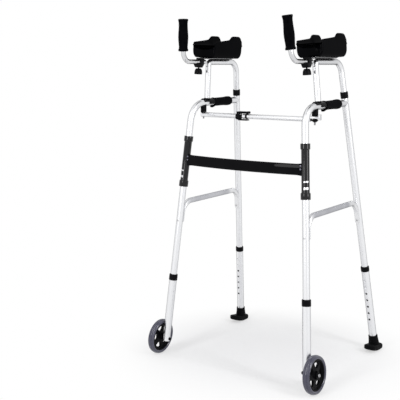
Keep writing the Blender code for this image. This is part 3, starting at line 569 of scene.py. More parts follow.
def add_node(tree: bpy.types.NodeTree, kind: str, values: dict[str, object] | None = None,
             **settings: object) -> bpy.types.Node:
    """Adds a shader node.

    Args:
        tree: The node tree.
        kind: Its type, without the words ShaderNode.
        values: Constants of its inputs, by name.
        settings: Its own options, by name.

    Returns:
        The node.
    """
    node = tree.nodes.new(f"ShaderNode{kind}")
    for label, value in settings.items():
        setattr(node, label, value)
    for label, value in (values or {}).items():
        node.inputs[label].default_value = value
    return node


def wire(tree: bpy.types.NodeTree, *links: Link) -> None:
    """Links nodes, each link given as node, output, node, input."""
    for source, output, target, given in links:
        tree.links.new(source.outputs[output], target.inputs[given])


class NodeGroups:
    """Shader node groups shared by the finishes, each made once."""

    @staticmethod
    def _start(name: str, inputs: dict[str, float | tuple], outputs: Sequence[tuple[str, str]]
               ) -> tuple[bpy.types.NodeTree, bpy.types.Node, bpy.types.Node]:
        """Makes an empty group.

        Args:
            name: Name of the group.
            inputs: The default of each input; a tuple is a colour.
            outputs: Name and socket type of each output.

        Returns:
            The group, its input node and its output node.
        """
        tree = bpy.data.node_groups.new(name, "ShaderNodeTree")
        for label, value in inputs.items():
            kind = "NodeSocketColor" if isinstance(value, tuple) else "NodeSocketFloat"
            tree.interface.new_socket(label, in_out="INPUT", socket_type=kind).default_value = value
        for label, kind in outputs:
            tree.interface.new_socket(label, in_out="OUTPUT", socket_type=kind)
        return tree, tree.nodes.new("NodeGroupInput"), tree.nodes.new("NodeGroupOutput")

    @classmethod
    @cache
    def grain(cls) -> bpy.types.NodeTree:
        """Builds fine moulded grain: a height and a slow unevenness mask.

        Returns:
            The group.
        """
        tree, given, out = cls._start("moulded_grain", {"Fine": 900.0, "Broad": 30.0},
                                      [("Height", "NodeSocketFloat"), ("Unevenness", "NodeSocketFloat")])
        place = add_node(tree, "TexCoord")
        fine = add_node(tree, "TexNoise", {"Detail": 3.0})
        broad = add_node(tree, "TexNoise", {"Detail": 2.0})
        wire(tree, (place, "Object", fine, "Vector"), (given, "Fine", fine, "Scale"),
             (place, "Object", broad, "Vector"), (given, "Broad", broad, "Scale"),
             (fine, "Fac", out, "Height"), (broad, "Fac", out, "Unevenness"))
        return tree

    @classmethod
    @cache
    def tint(cls) -> bpy.types.NodeTree:
        """Builds a mix of a colour towards a second one by a mask, which also gives a roughness.

        Returns:
            The group.
        """
        tree, given, out = cls._start(
            "uneven_tint",
            {"Mask": 0.5, "Colour": (0.5, 0.5, 0.5, 1.0), "Second Colour": (0.6, 0.6, 0.6, 1.0),
             "Low Roughness": 0.3, "High Roughness": 0.5},
            [("Colour", "NodeSocketColor"), ("Roughness", "NodeSocketFloat")])
        spread = add_node(tree, "MapRange", {"From Min": 0.32, "From Max": 0.68})
        mix = add_node(tree, "Mix", data_type="RGBA")
        rough = add_node(tree, "MapRange")
        wire(tree, (given, "Mask", spread, "Value"), (spread, "Result", mix, "Factor"),
             (given, "Colour", mix, "A"), (given, "Second Colour", mix, "B"),
             (spread, "Result", rough, "Value"), (given, "Low Roughness", rough, "To Min"),
             (given, "High Roughness", rough, "To Max"),
             (mix, "Result", out, "Colour"), (rough, "Result", out, "Roughness"))
        return tree

    @classmethod
    @cache
    def end_tone(cls) -> bpy.types.NodeTree:
        """Builds a mix of a colour towards a second one with the distance along Y from a middle.

        Returns:
            The group.
        """
        tree, given, out = cls._start(
            "end_tone",
            {"Colour": (0.5, 0.5, 0.5, 1.0), "End Colour": (0.7, 0.7, 0.7, 1.0), "Middle": 0.0, "Start": 0.1,
             "Full": 0.2},
            [("Colour", "NodeSocketColor")])
        place = add_node(tree, "TexCoord")
        axes = add_node(tree, "SeparateXYZ")
        offset = add_node(tree, "Math", operation="SUBTRACT")
        distance = add_node(tree, "Math", operation="ABSOLUTE")
        fade = add_node(tree, "MapRange", interpolation_type="SMOOTHSTEP")
        mix = add_node(tree, "Mix", data_type="RGBA")
        wire(tree, (place, "Object", axes, 0), (axes, "Y", offset, 0), (given, "Middle", offset, 1),
             (offset, "Value", distance, 0), (distance, "Value", fade, "Value"),
             (given, "Start", fade, "From Min"), (given, "Full", fade, "From Max"),
             (fade, "Result", mix, "Factor"), (given, "Colour", mix, "A"), (given, "End Colour", mix, "B"),
             (mix, "Result", out, "Colour"))
        return tree


@dataclass(frozen=True)
class EndTone:
    """A second colour towards both ends of a piece along Y: its middle, and where it starts and is full. On
    the brace the darker middle is painted shade, and the ends carry the plain aluminium tone.
    """

    colour: tuple[float, float, float]
    middle: float
    start: float
    full: float


@dataclass(frozen=True)
class Finish:
    """A surface: two close colours, a roughness range, and a bump of a given grain."""

    name: str
    slot: str
    colour: tuple[float, float, float]
    second: tuple[float, float, float]
    roughness: tuple[float, float]
    metallic: float = 0.0
    fine: float = 900.0
    broad: float = 30.0
    bump: float = 0.1
    bump_depth: float = 0.0002
    coat: float = 0.0
    coat_roughness: float = 0.1
    specular: float = 0.5
    # Tint of the reflection at glancing angles. Below 1 it darkens the rims of metal pieces, as painted shade
    # standing for dark surroundings.
    glancing: float = 1.0
    ends: EndTone | None = None

    def material(self) -> bpy.types.Material:
        """Makes the finish's Blender material, the first time it is asked for.

        Returns:
            The material.
        """
        found = bpy.data.materials.get(self.name)
        if found:
            return found
        mat = bpy.data.materials.new(self.name)
        mat.use_nodes = True
        tree = mat.node_tree
        shader = tree.nodes["Principled BSDF"]
        # The Specular Tint from glancing darkens reflections at glancing angles, which paints shade on the
        # rims.
        constants = {"Metallic": self.metallic, "Coat Weight": self.coat,
                     "Coat Roughness": self.coat_roughness, "Specular IOR Level": self.specular,
                     "Specular Tint": (self.glancing, self.glancing, self.glancing, 1.0)}
        for label, value in constants.items():
            shader.inputs[label].default_value = value
        grain = add_node(tree, "Group", {"Fine": self.fine, "Broad": self.broad},
                         node_tree=NodeGroups.grain())
        tint = add_node(tree, "Group", {"Colour": (*self.colour, 1.0), "Second Colour": (*self.second, 1.0),
                                        "Low Roughness": self.roughness[0],
                                        "High Roughness": self.roughness[1]},
                        node_tree=NodeGroups.tint())
        bump = add_node(tree, "Bump", {"Strength": self.bump, "Distance": self.bump_depth})
        coloured = self._with_ends(tree, tint) if self.ends else tint
        wire(tree, (grain, "Unevenness", tint, "Mask"), (coloured, "Colour", shader, "Base Color"),
             (tint, "Roughness", shader, "Roughness"), (grain, "Height", bump, "Height"),
             (bump, "Normal", shader, "Normal"))
        return mat

    def _with_ends(self, tree: bpy.types.NodeTree, coloured: bpy.types.Node) -> bpy.types.Node:
        """Adds the tone of both ends.

        Args:
            tree: The material's nodes.
            coloured: The node that gives the colour so far.

        Returns:
            The node that gives the new colour.
        """
        tone = add_node(tree, "Group", {"End Colour": (*self.ends.colour, 1.0), "Middle": self.ends.middle,
                                        "Start": self.ends.start, "Full": self.ends.full},
                        node_tree=NodeGroups.end_tone())
        wire(tree, (coloured, "Colour", tone, "Colour"))
        return tone


# The metals' low glancing tint paints shade along the rims of their tubes.
ALUMINIUM = Finish(
    "bright_aluminium", "aluminium", colour=(0.83, 0.835, 0.85), second=(0.79, 0.795, 0.815),
    roughness=(0.26, 0.32), metallic=1.0, fine=1400.0, broad=24.0, bump=0.015, bump_depth=0.0001,
    glancing=0.10)
# The brace's level middle is coloured darker than its ends. This is painted shade, standing for the darker
# reflection of a tube that lies flat.
BRACE_PAINTED_SHADE_ALUMINIUM = Finish(
    "brace_aluminium_painted_shade", "aluminium", colour=(0.54, 0.545, 0.575), second=(0.47, 0.475, 0.505),
    roughness=(0.24, 0.30), metallic=1.0, fine=1400.0, broad=24.0, bump=0.015, bump_depth=0.0001,
    glancing=0.55, ends=EndTone(colour=(0.76, 0.765, 0.78), middle=-0.035, start=0.118, full=0.146))
PLATED = Finish(
    "plated_tube", "plated_steel", colour=(0.72, 0.72, 0.73), second=(0.66, 0.665, 0.68),
    roughness=(0.18, 0.24), metallic=1.0, fine=1200.0, broad=30.0, bump=0.015, bump_depth=0.0001,
    glancing=0.10)
ZINC = Finish(
    "zinc_fastener", "steel", colour=(0.50, 0.50, 0.51), second=(0.40, 0.40, 0.41), roughness=(0.28, 0.40),
    metallic=1.0, fine=1600.0, broad=120.0, bump=0.08, glancing=0.50)
RIVET_STEEL = Finish(
    "dark_rivet_steel", "steel", colour=(0.17, 0.165, 0.20), second=(0.12, 0.12, 0.15),
    roughness=(0.26, 0.38), metallic=1.0, fine=1600.0, broad=120.0, bump=0.06, glancing=0.50)
GLOSS_BLACK = Finish(
    "gloss_black_bar", "gloss_black", colour=(0.0012, 0.0012, 0.0020), second=(0.0024, 0.0024, 0.0032),
    roughness=(0.18, 0.28), fine=500.0, broad=18.0, bump=0.02, specular=0.0, coat=0.15, coat_roughness=0.04)
SLEEVE_BLACK = Finish(
    "gloss_black_sleeve", "black_plastic", colour=(0.0014, 0.0014, 0.0022), second=(0.0028, 0.0028, 0.0036),
    roughness=(0.05, 0.09), fine=700.0, broad=45.0, bump=0.01, specular=0.36)
SATIN_BLACK = Finish(
    "satin_black_plastic", "black_plastic", colour=(0.0022, 0.0022, 0.0030), second=(0.0045, 0.0045, 0.0054),
    roughness=(0.30, 0.44), fine=1500.0, broad=45.0, bump=0.10, specular=0.05)
HUB_BLACK = Finish(
    "hub_plastic_black", "hub_plastic", colour=(0.0018, 0.0018, 0.0026), second=(0.0040, 0.0040, 0.0050),
    roughness=(0.26, 0.36), fine=1500.0, broad=60.0, bump=0.06, specular=0.03)
CUFF_BLACK = Finish(
    "moulded_cuff_black", "moulded_cuff", colour=(0.0009, 0.0009, 0.0014), second=(0.0017, 0.0017, 0.0024),
    roughness=(0.34, 0.46), fine=1100.0, broad=22.0, bump=0.10, specular=0.0, coat=0.055, coat_roughness=0.09)
FOAM_BLACK = Finish(
    "foam_black", "handle_foam", colour=(0.0022, 0.0022, 0.0030), second=(0.0050, 0.0050, 0.0060),
    roughness=(0.62, 0.78), fine=1300.0, broad=120.0, bump=0.40, bump_depth=0.0004, specular=0.012)
GRIP_BLACK = Finish(
    "grip_rubber_black", "grip_rubber", colour=(0.0012, 0.0012, 0.0018), second=(0.0028, 0.0028, 0.0036),
    roughness=(0.46, 0.60), fine=1700.0, broad=90.0, bump=0.22, specular=0.008)
TYRE_GREY = Finish(
    "tyre_grey", "grey_tyre", colour=(0.040, 0.040, 0.068), second=(0.054, 0.054, 0.084),
    roughness=(0.10, 0.17), fine=1200.0, broad=70.0, bump=0.04, specular=0.60)
FOOT_BLACK = Finish(
    "foot_rubber_black", "foot_rubber", colour=(0.0024, 0.0024, 0.0030), second=(0.0048, 0.0048, 0.0054),
    roughness=(0.46, 0.62), fine=1500.0, broad=60.0, bump=0.20, specular=0.030)
BUTTON_GREY = Finish(
    "button_grey", "button_plastic", colour=(0.50, 0.50, 0.51), second=(0.56, 0.56, 0.57),
    roughness=(0.30, 0.40), fine=1500.0, broad=200.0, bump=0.05)


@dataclass
class SubAssembly:
    """Pieces that are built together; it names and finishes them and puts them on their bodies."""

    plane: SidePlane = PLANE

    def place(self, obj: bpy.types.Object, name: str, finish: Finish, body: str,
              nodes: Sequence[str] = (), sharp: float = 38.0) -> bpy.types.Object:
        """Finishes one piece.

        Args:
            obj: The piece.
            name: Its final name.
            finish: Its finish.
            body: The body it rides on.
            nodes: The solid nodes it stands for.
            sharp: Angle in degrees above which an edge stays sharp.

        Returns:
            The piece.
        """
        obj.name = name
        obj.data.name = name
        obj.data.materials.clear()
        obj.data.materials.append(finish.material())
        obj.data.shade_smooth()
        obj.data.set_sharp_from_angle(angle=math.radians(sharp))
        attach(obj, body)
        if nodes:
            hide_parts(*nodes)
        LOG.info("%s: %d faces on %s", name, len(obj.data.polygons), body)
        return obj

    def pair(self, obj: bpy.types.Object, name: str, finish: Finish, body: str, nodes: Sequence[str] = (),
             sharp: float = 38.0) -> list[bpy.types.Object]:
        """Finishes a left piece and its mirror copy on the right.

        Args:
            obj: The left piece.
            name: Name without the side.
            finish: The finish of both.
            body: Body without the side; the fixed base has none.
            nodes: Nodes without the side that each stands for.
            sharp: Angle in degrees above which an edge stays sharp.

        Returns:
            The left and the right piece.
        """
        copy = mirrored(linked(name, obj.data.copy()))
        found = []
        for side, piece in ((Side.LEFT, obj), (Side.RIGHT, copy)):
            ridden = body if body == BASE else f"{side.word}_{body}"
            stands_for = [f"{side.word}_{node}" for node in nodes]
            found.append(self.place(piece, f"{name}_{side.word}", finish, ridden, stands_for, sharp))
        return found


@dataclass
class SideFrame(SubAssembly):
    """Front tube with its handle, rear upright, brace, collars, hand grip and the strut's bolt and spacer."""

    bore: float = 0.0103
    bend_radius: float = 0.067
    tube_end_z: float = 0.236
    weld_radius: float = 0.0016
    brace_z: tuple[float, float] = (0.5605, 0.5635)
    brace_end_z: float = 0.487
    brace_bends: tuple[float, float] = (0.042, 0.040)
    brace_rivet_z: tuple[float, float] = (0.496, 0.501)
    brace_radius: float = 0.0096
    brace_flat: tuple[float, float] = (0.0088, 0.0028)
    brace_flat_run: float = 0.037
    brace_change: float = 0.040
    collar_z: tuple[float, float] = (0.9330, 0.9545)
    spacer_low: tuple[float, float] = (0.8806, 0.8786)
    bolt_tip: tuple[float, float] = (0.8510, 0.8555)
    thread_pitch: float = 0.0010

    def front_path(self) -> Path:
        """Axis of the tube that is the front leg and the handle in one.

        Returns:
            The axis.
        """
        p = self.plane
        corner = p.handle(p.front_y(p.handle(p.front_y(p.height(p.handle_z))).z))
        end = p.handle(p.rear_y(p.handle(p.rear_y(p.height(p.handle_z))).z))
        return Path.bent([p.front(self.tube_end_z), corner, end], [self.bend_radius], 28)

    def build(self) -> None:
        """Builds and dresses every piece of the side frames."""
        self._tubes()
        self._brace()
        self._collar()
        self._hand_grip()
        self._strut_seat()

    def _tubes(self) -> None:
        """The two uprights, and the weld where the handle meets the rear one."""
        p = self.plane
        front = tube("front", self.front_path(), p.upper_radius, self.bore, 44, p.matrix)
        reach = 0.05
        crossing = Path.line(p.rear(p.handle_z - reach), p.rear(p.handle_z + reach))
        cope = tube("cope", crossing, p.upper_radius - 0.0001, None, 44, p.matrix)
        front = combined(front, [cope], Joining.CUT)
        self.pair(front, "front_leg_and_handle", ALUMINIUM, "frame", ["front_tube"])
        upright = Path.line(p.rear(self.tube_end_z), p.rear(self.collar_z[1] - 0.004))
        rear = tube("rear", upright, p.upper_radius, self.bore, 44, p.matrix)
        self.pair(rear, "rear_upright_tube", ALUMINIUM, "frame", ["rear_upright"])
        self.pair(self._weld(), "handle_weld", ALUMINIUM, "frame")

    def _weld(self) -> bpy.types.Object:
        """A slim bead along the line where the handle tube meets the rear upright.

        Returns:
            The bead.
        """
        p = self.plane
        axis = p.handle_dir
        up = p.rear_dir
        base = p.rear(p.handle_z)
        first, second = across(axis, X_AXIS)
        radius = p.upper_radius + 0.0002
        count = 56
        points = []
        for k in range(count):
            angle = math.tau * k / count
            start = p.handle(0.0) + (first * math.cos(angle) + second * math.sin(angle)) * radius
            gap = (start - base).cross(up)
            step = axis.cross(up)
            a = step.dot(step)
            b = 2.0 * gap.dot(step)
            c = gap.dot(gap) - radius ** 2
            reach = (-b - math.sqrt(max(0.0, b * b - 4.0 * a * c))) / (2.0 * a)
            points.append(start + axis * reach)
        rings = []
        for k, point in enumerate(points):
            way = (points[(k + 1) % count] - points[k - 1]).normalized()
            one, two = across(way, axis)
            rings.append([point + (one * math.cos(a) + two * math.sin(a)) * self.weld_radius
                          for a in (math.tau * j / 8 for j in range(8))])
        return lofted("weld", rings, p.matrix, closed=True)

    def _brace(self) -> None:
        """The bridge between the legs, pressed flat at its ends, with its rivet heads."""
        p = self.plane
        thick_end = self.brace_flat[1]
        shift = p.upper_radius + thick_end + p.gap
        front_out = Vector((0.0, 1.0, -p.front_lean)).normalized()
        rear_out = Vector((0.0, -1.0, -p.rear_lean)).normalized()
        corners = []
        for point, way, out, level in ((p.front, p.front_dir, front_out, self.brace_z[0]),
                                       (p.rear, p.rear_dir, rear_out, self.brace_z[1])):
            corner = point(level) + out * shift
            corner += way * (p.height(level) - corner.z)
            corners += [point(self.brace_end_z) + out * shift, corner]
        start, first, end, second = corners
        path = Path.bent([start, first, second, end], self.brace_bends, 18)
        brace = lofted("brace", self._brace_rings(path), p.matrix)
        # The brace's finish paints shade on its level middle.
        self.pair(brace, "side_brace_tube", BRACE_PAINTED_SHADE_ALUMINIUM, "frame", ["side_brace"])
        head = [(0.0, 0.0), (0.0042, 0.0), (0.0041, 0.0010), (0.0034, 0.0020), (0.0018, 0.0027),
                (0.0, 0.0029)]
        tail = [(0.0, -0.0006), (0.0036, -0.0006), (0.0036, 0.0002), (0.0026, 0.0008), (0.0, 0.0010)]
        rivets = []
        for point, out in ((p.front(self.brace_rivet_z[0]), front_out),
                           (p.rear(self.brace_rivet_z[1]), rear_out)):
            rivets.append(turned("head", point + out * (shift + thick_end - 0.0004), out, head, 20, p.matrix))
            rivets.append(turned("tail", point - out * p.upper_radius, -out, tail, 20, p.matrix))
        self.pair(merged(rivets), "brace_rivets", ZINC, "frame")

    def _brace_rings(self, path: Path) -> list[list[Vector]]:
        """Sections of the brace: flat at both ends, round between them.

        Args:
            path: The brace's axis.

        Returns:
            The rings.
        """
        wide_end, thick_end = self.brace_flat
        spread = Path([path.points[0]], [path.directions[0]])
        for (a, b), way in zip(zip(path.points, path.points[1:]), path.directions[1:]):
            cuts = 10 if (b - a).length > 0.02 else 1
            for k in range(1, cuts + 1):
                spread.points.append(a.lerp(b, k / cuts))
                spread.directions.append(way)
        lengths = spread.lengths()
        rings = []
        for point, way, run in zip(spread.points, spread.directions, lengths):
            near = min(run, lengths[-1] - run)
            share = min(1.0, max(0.0, (near - self.brace_flat_run) / self.brace_change))
            share = share * share * (3.0 - 2.0 * share)
            tip = math.sqrt(max(0.02, 1.0 - max(0.0, 1.0 - near / wide_end) ** 2))
            wide = (wide_end + (self.brace_radius - wide_end) * share) * tip
            thick = thick_end + (self.brace_radius - thick_end) * share
            power = 0.62 + 0.38 * share
            rings.append(oval(point, across(way, X_AXIS), (wide, thick), (power, power)))
        return rings

    def _collar(self) -> None:
        """The collar on top of the rear upright."""
        p = self.plane
        low = p.rear(self.collar_z[0])
        length = (p.rear(self.collar_z[1]) - low).length
        lip = length - 0.0036
        seat = p.upper_radius + p.gap
        mouth = p.arm_radius + 0.0004
        profile = [(seat, 0.0), (0.0130, 0.0), (0.0134, 0.0008), (0.0134, 0.0048), (0.0130, 0.0052),
                   (0.0130, 0.0060), (0.0134, 0.0064), (0.0134, length - 0.0016), (0.0126, length),
                   (mouth, length), (mouth, lip), (seat, lip)]
        collar = turned("collar", low, p.rear_dir, profile, 40, p.matrix)
        self.pair(collar, "top_collar_ring", SATIN_BLACK, "frame", ["top_collar"])

    def _hand_grip(self) -> None:
        """Foam grip with flared ends, and the lip under the tube at its front."""
        p = self.plane
        bore = p.upper_radius + p.gap
        profile = [(bore, 0.0), (0.0158, 0.0), (0.0166, 0.0015), (0.0166, 0.0040), (0.0154, 0.0058),
                   (0.0150, 0.0075), (0.0150, 0.0300), (0.0151, 0.0520), (0.0154, 0.0750), (0.0160, 0.0810),
                   (0.0165, 0.0870), (0.0168, 0.0980), (0.0162, 0.1062), (0.0146, 0.1104), (0.0136, 0.1110),
                   (bore, 0.1110)]
        grip = turned("grip", p.handle(-0.055), p.handle_dir, softened(profile, 0.0030), 48, p.matrix)
        curl = 0.0022
        raised = 0.0010
        rings = []
        for y, drop, half, wide in ((-0.0500, 0.0146, 0.0018, 0.0085), (-0.0530, 0.0149, 0.0024, 0.0086),
                                    (-0.0555, 0.0157, 0.0023, 0.0084), (-0.0575, 0.0166, 0.0019, 0.0078),
                                    (-0.0595, 0.0171, 0.0014, 0.0068), (-0.0610, 0.0173, 0.0008, 0.0050)):
            ring = oval(p.handle(y) - Z_AXIS * drop, (X_AXIS, Z_AXIS), (wide, half), (0.6, 0.6), 16)
            for point in ring:
                point.z += raised - curl * (1.0 - (point.x / wide) ** 2)
            rings.append(ring)
        lip = lofted("lip", rings, p.matrix)
        for piece in self.pair(merged([grip, lip]), "hand_grip", FOAM_BLACK, "frame", ["handle_grip"]):
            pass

    def _strut_seat(self) -> None:
        """Spacer blocks and bolts under the handles; the left spacer stands higher, on the strut's lug."""
        p = self.plane
        x, y = p.bolt_x, p.strut_y
        top = p.handle_z + p.upper_radius + 0.0005
        for side, low, tip in zip(Side, self.spacer_low, self.bolt_tip):
            height = 0.911 - low
            profile = [(0.0034, 0.0), (0.0098, 0.0), (0.0106, 0.0008), (0.0106, height), (0.0034, height)]
            spacer = turned("spacer", (x, y, low), Z_AXIS, profile, 32)
            cope = tube("cope", self.front_path(), p.upper_radius + 0.0002, None, 32, p.matrix)
            upper = slab("upper", (x - 0.02, y - 0.02, p.handle_z - 0.0035),
                         (x + 0.02, y + 0.02, p.handle_z + 0.03))
            combined(spacer, [cope, upper], Joining.CUT)
            end = tip - top
            thread = [(0.0, end), (0.0022, end), (0.0030, end + 0.0010)]
            for k in range(12):
                z = end + 0.0014 + k * self.thread_pitch
                thread += [(0.0030, z), (0.0026, z + self.thread_pitch / 2.0)]
            thread += [(0.0030, end + 0.0145), (0.0030, 0.0), (0.0052, 0.0), (0.0048, 0.0010), (0.0, 0.0014)]
            bolt = turned("bolt", (x, y, top), Z_AXIS, thread, 16)
            if side is Side.RIGHT:
                mirrored(spacer)
                mirrored(bolt)
            body = f"{side.word}_frame"
            self.place(spacer, f"strut_spacer_{side.word}", SATIN_BLACK, body, [f"{side.word}_spacer_block"])
            self.place(bolt, f"strut_screw_{side.word}", ZINC, body, [f"{side.word}_strut_bolt"])


@dataclass
class Legs(SubAssembly):
    """Telescoping lower legs with their holes, collars, snap buttons and rear feet."""

    bore: float = 0.0118
    button_z: float = 0.2712
    hole_pitch: float = 0.0254
    hole_count: int = 7
    hole_radius: float = 0.0039
    collar_lip: float = 0.0044
    front_collar_z: tuple[float, float] = (0.2780, 0.2998)
    rear_collar_z: tuple[float, float] = (0.3045, 0.3225)
    front_end_z: float = 0.0525
    rear_end_z: float = 0.016
    socket_z: tuple[float, float] = (0.012, 0.0565)
    socket_floor_z: float = 0.0157

    def build(self) -> None:
        """Builds and dresses the legs of both sides."""
        p = self.plane
        for word, point, way, end_z, collar_z, facing in (
                ("front", p.front, p.front_dir, self.front_end_z, self.front_collar_z, Facing.REARWARD),
                ("rear", p.rear, p.rear_dir, self.rear_end_z, self.rear_collar_z, Facing.FORWARD)):
            leg = self._leg(point, way, (end_z, collar_z[1] - self.collar_lip), facing)
            collar = self._collar(point, way, collar_z)
            button = self._button(point, way, facing)
            self.pair(leg, f"{word}_leg_extension", ALUMINIUM, f"{word}_leg", [f"{word}_lower_tube"])
            self.pair(collar, f"{word}_leg_collar", SATIN_BLACK, f"{word}_leg", [f"{word}_collar"])
            self.pair(button, f"{word}_snap_button", BUTTON_GREY, f"{word}_catch", [f"{word}_button"])
        self.pair(self._foot(), "rear_glide_foot", FOOT_BLACK, "rear_leg", ["foot"], sharp=60.0)

    def _leg(self, point: AxisPoint, way: Vector, heights: tuple[float, float], facing: Facing
             ) -> bpy.types.Object:
        """A lower leg tube with its row of holes.

        Args:
            point: Gives the leg's axis point at a height.
            way: Direction of the leg.
            heights: Heights of its lower and upper end.
            facing: The side with the holes.

        Returns:
            The tube.
        """
        p = self.plane
        leg = tube("leg", Path.line(*map(point, heights)), p.lower_radius, self.bore, 48, p.matrix)
        out = Vector((0.0, way.z, -way.y)) * facing.value
        first = point(self.button_z) + out * 0.004
        wide = self.hole_radius + 0.0008
        drill = [(0.0, 0.0), (self.hole_radius, 0.0), (self.hole_radius, 0.0090), (wide, 0.0099),
                 (wide, 0.016), (0.0, 0.016)]
        drills = [turned("hole", first - way * (self.hole_pitch * k), out, drill, 20, p.matrix)
                  for k in range(self.hole_count)]
        return combined(leg, drills, Joining.CUT)

    def _collar(self, point: AxisPoint, way: Vector, heights: tuple[float, float]) -> bpy.types.Object:
        """A clamping collar over the end of a lower leg tube, with a stepped top and a fine groove.

        Args:
            point: Gives the leg's axis point at a height.
            way: Direction of the leg.
            heights: Heights of its lower and upper end.

        Returns:
            The collar.
        """
        p = self.plane
        low = point(heights[0])
        top = (point(heights[1]) - low).length
        lip = top - 0.0040
        seat = p.lower_radius + p.gap
        mouth = p.upper_radius + 0.0004
        profile = [(seat, 0.0), (0.0148, 0.0), (0.0152, 0.0008), (0.0152, top - 0.0086),
                   (0.0148, top - 0.0082), (0.0148, top - 0.0076), (0.0152, top - 0.0072),
                   (0.0152, top - 0.0030), (0.0147, top - 0.0014), (0.0136, top), (mouth, top), (mouth, lip),
                   (seat, lip)]
        return turned("collar", low, way, profile, 40, p.matrix)

    def _button(self, point: AxisPoint, way: Vector, facing: Facing) -> bpy.types.Object:
        """A domed snap button inside the upper tube.

        Args:
            point: Gives the leg's axis point at a height.
            way: Direction of the leg.
            facing: The side with the holes.

        Returns:
            The button.
        """
        out = Vector((0.0, way.z, -way.y)) * facing.value
        profile = [(0.0, 0.0045), (0.0046, 0.0045), (0.0046, 0.0060), (0.0034, 0.0060), (0.0034, 0.0104),
                   (0.0028, 0.0111), (0.0016, 0.0114), (0.0, 0.0114)]
        return turned("button", point(self.button_z), out, profile, 20, self.plane.matrix)

    def _foot(self) -> bpy.types.Object:
        """Rubber glide with a ski-shaped sole, upturned at both ends, and a leaning socket for the leg.

        Returns:
            The foot.
        """
        p = self.plane
        centre = p.matrix @ p.rear(0.0)
        stations = [(-0.0638, 0.0052, 0.0208, 0.0286), (-0.0630, 0.0082, 0.0185, 0.0301),
                    (-0.0615, 0.0112, 0.0164, 0.0309), (-0.0590, 0.0142, 0.0143, 0.0312),
                    (-0.0560, 0.0166, 0.0124, 0.0311), (-0.0520, 0.0186, 0.0106, 0.0304),
                    (-0.0480, 0.0200, 0.0090, 0.0295), (-0.0430, 0.0211, 0.0073, 0.0285),
                    (-0.0380, 0.0218, 0.0058, 0.0275), (-0.0325, 0.0224, 0.0043, 0.0265),
                    (-0.0270, 0.0228, 0.0030, 0.0255), (-0.0210, 0.0230, 0.0018, 0.0247),
                    (-0.0150, 0.0230, 0.0008, 0.0240), (-0.0100, 0.0230, 0.0003, 0.0236),
                    (-0.0060, 0.0230, 0.0, 0.0232), (0.0140, 0.0230, 0.0, 0.0215),
                    (0.0170, 0.0228, 0.0003, 0.0208), (0.0200, 0.0222, 0.0010, 0.0200),
                    (0.0230, 0.0211, 0.0021, 0.0192), (0.0260, 0.0195, 0.0035, 0.0185),
                    (0.0285, 0.0173, 0.0050, 0.0179), (0.0308, 0.0148, 0.0066, 0.0172),
                    (0.0328, 0.0118, 0.0082, 0.0165), (0.0340, 0.0088, 0.0096, 0.0158),
                    (0.0345, 0.0056, 0.0108, 0.0148)]
        rings = []
        for y, half, low, high in stations:
            middle = Vector((centre.x, centre.y + y, (low + high) / 2.0))
            rings.append(oval(middle, (X_AXIS, Z_AXIS), (half, (high - low) / 2.0), (0.45, 0.50), 36))
        sole = lofted("foot", rings)
        low = p.rear(self.socket_z[0])
        length = (p.rear(self.socket_z[1]) - low).length
        profile = [(0.0, 0.0), (0.0200, 0.0), (0.0205, 0.0060), (0.0196, 0.0130), (0.0182, 0.0220),
                   (0.0171, length - 0.0110), (0.0168, length - 0.0085), (0.0168, length - 0.0020),
                   (0.0156, length), (0.0, length)]
        neck = turned("neck", low, p.rear_dir, softened(profile, 0.0020), 40, p.matrix)
        combined(sole, [neck], Joining.UNITE)
        socket = Path.line(p.rear(self.socket_floor_z), p.rear(0.08))
        return combined(sole, [tube("bore", socket, p.lower_radius + p.gap, None, 40, p.matrix)], Joining.CUT)


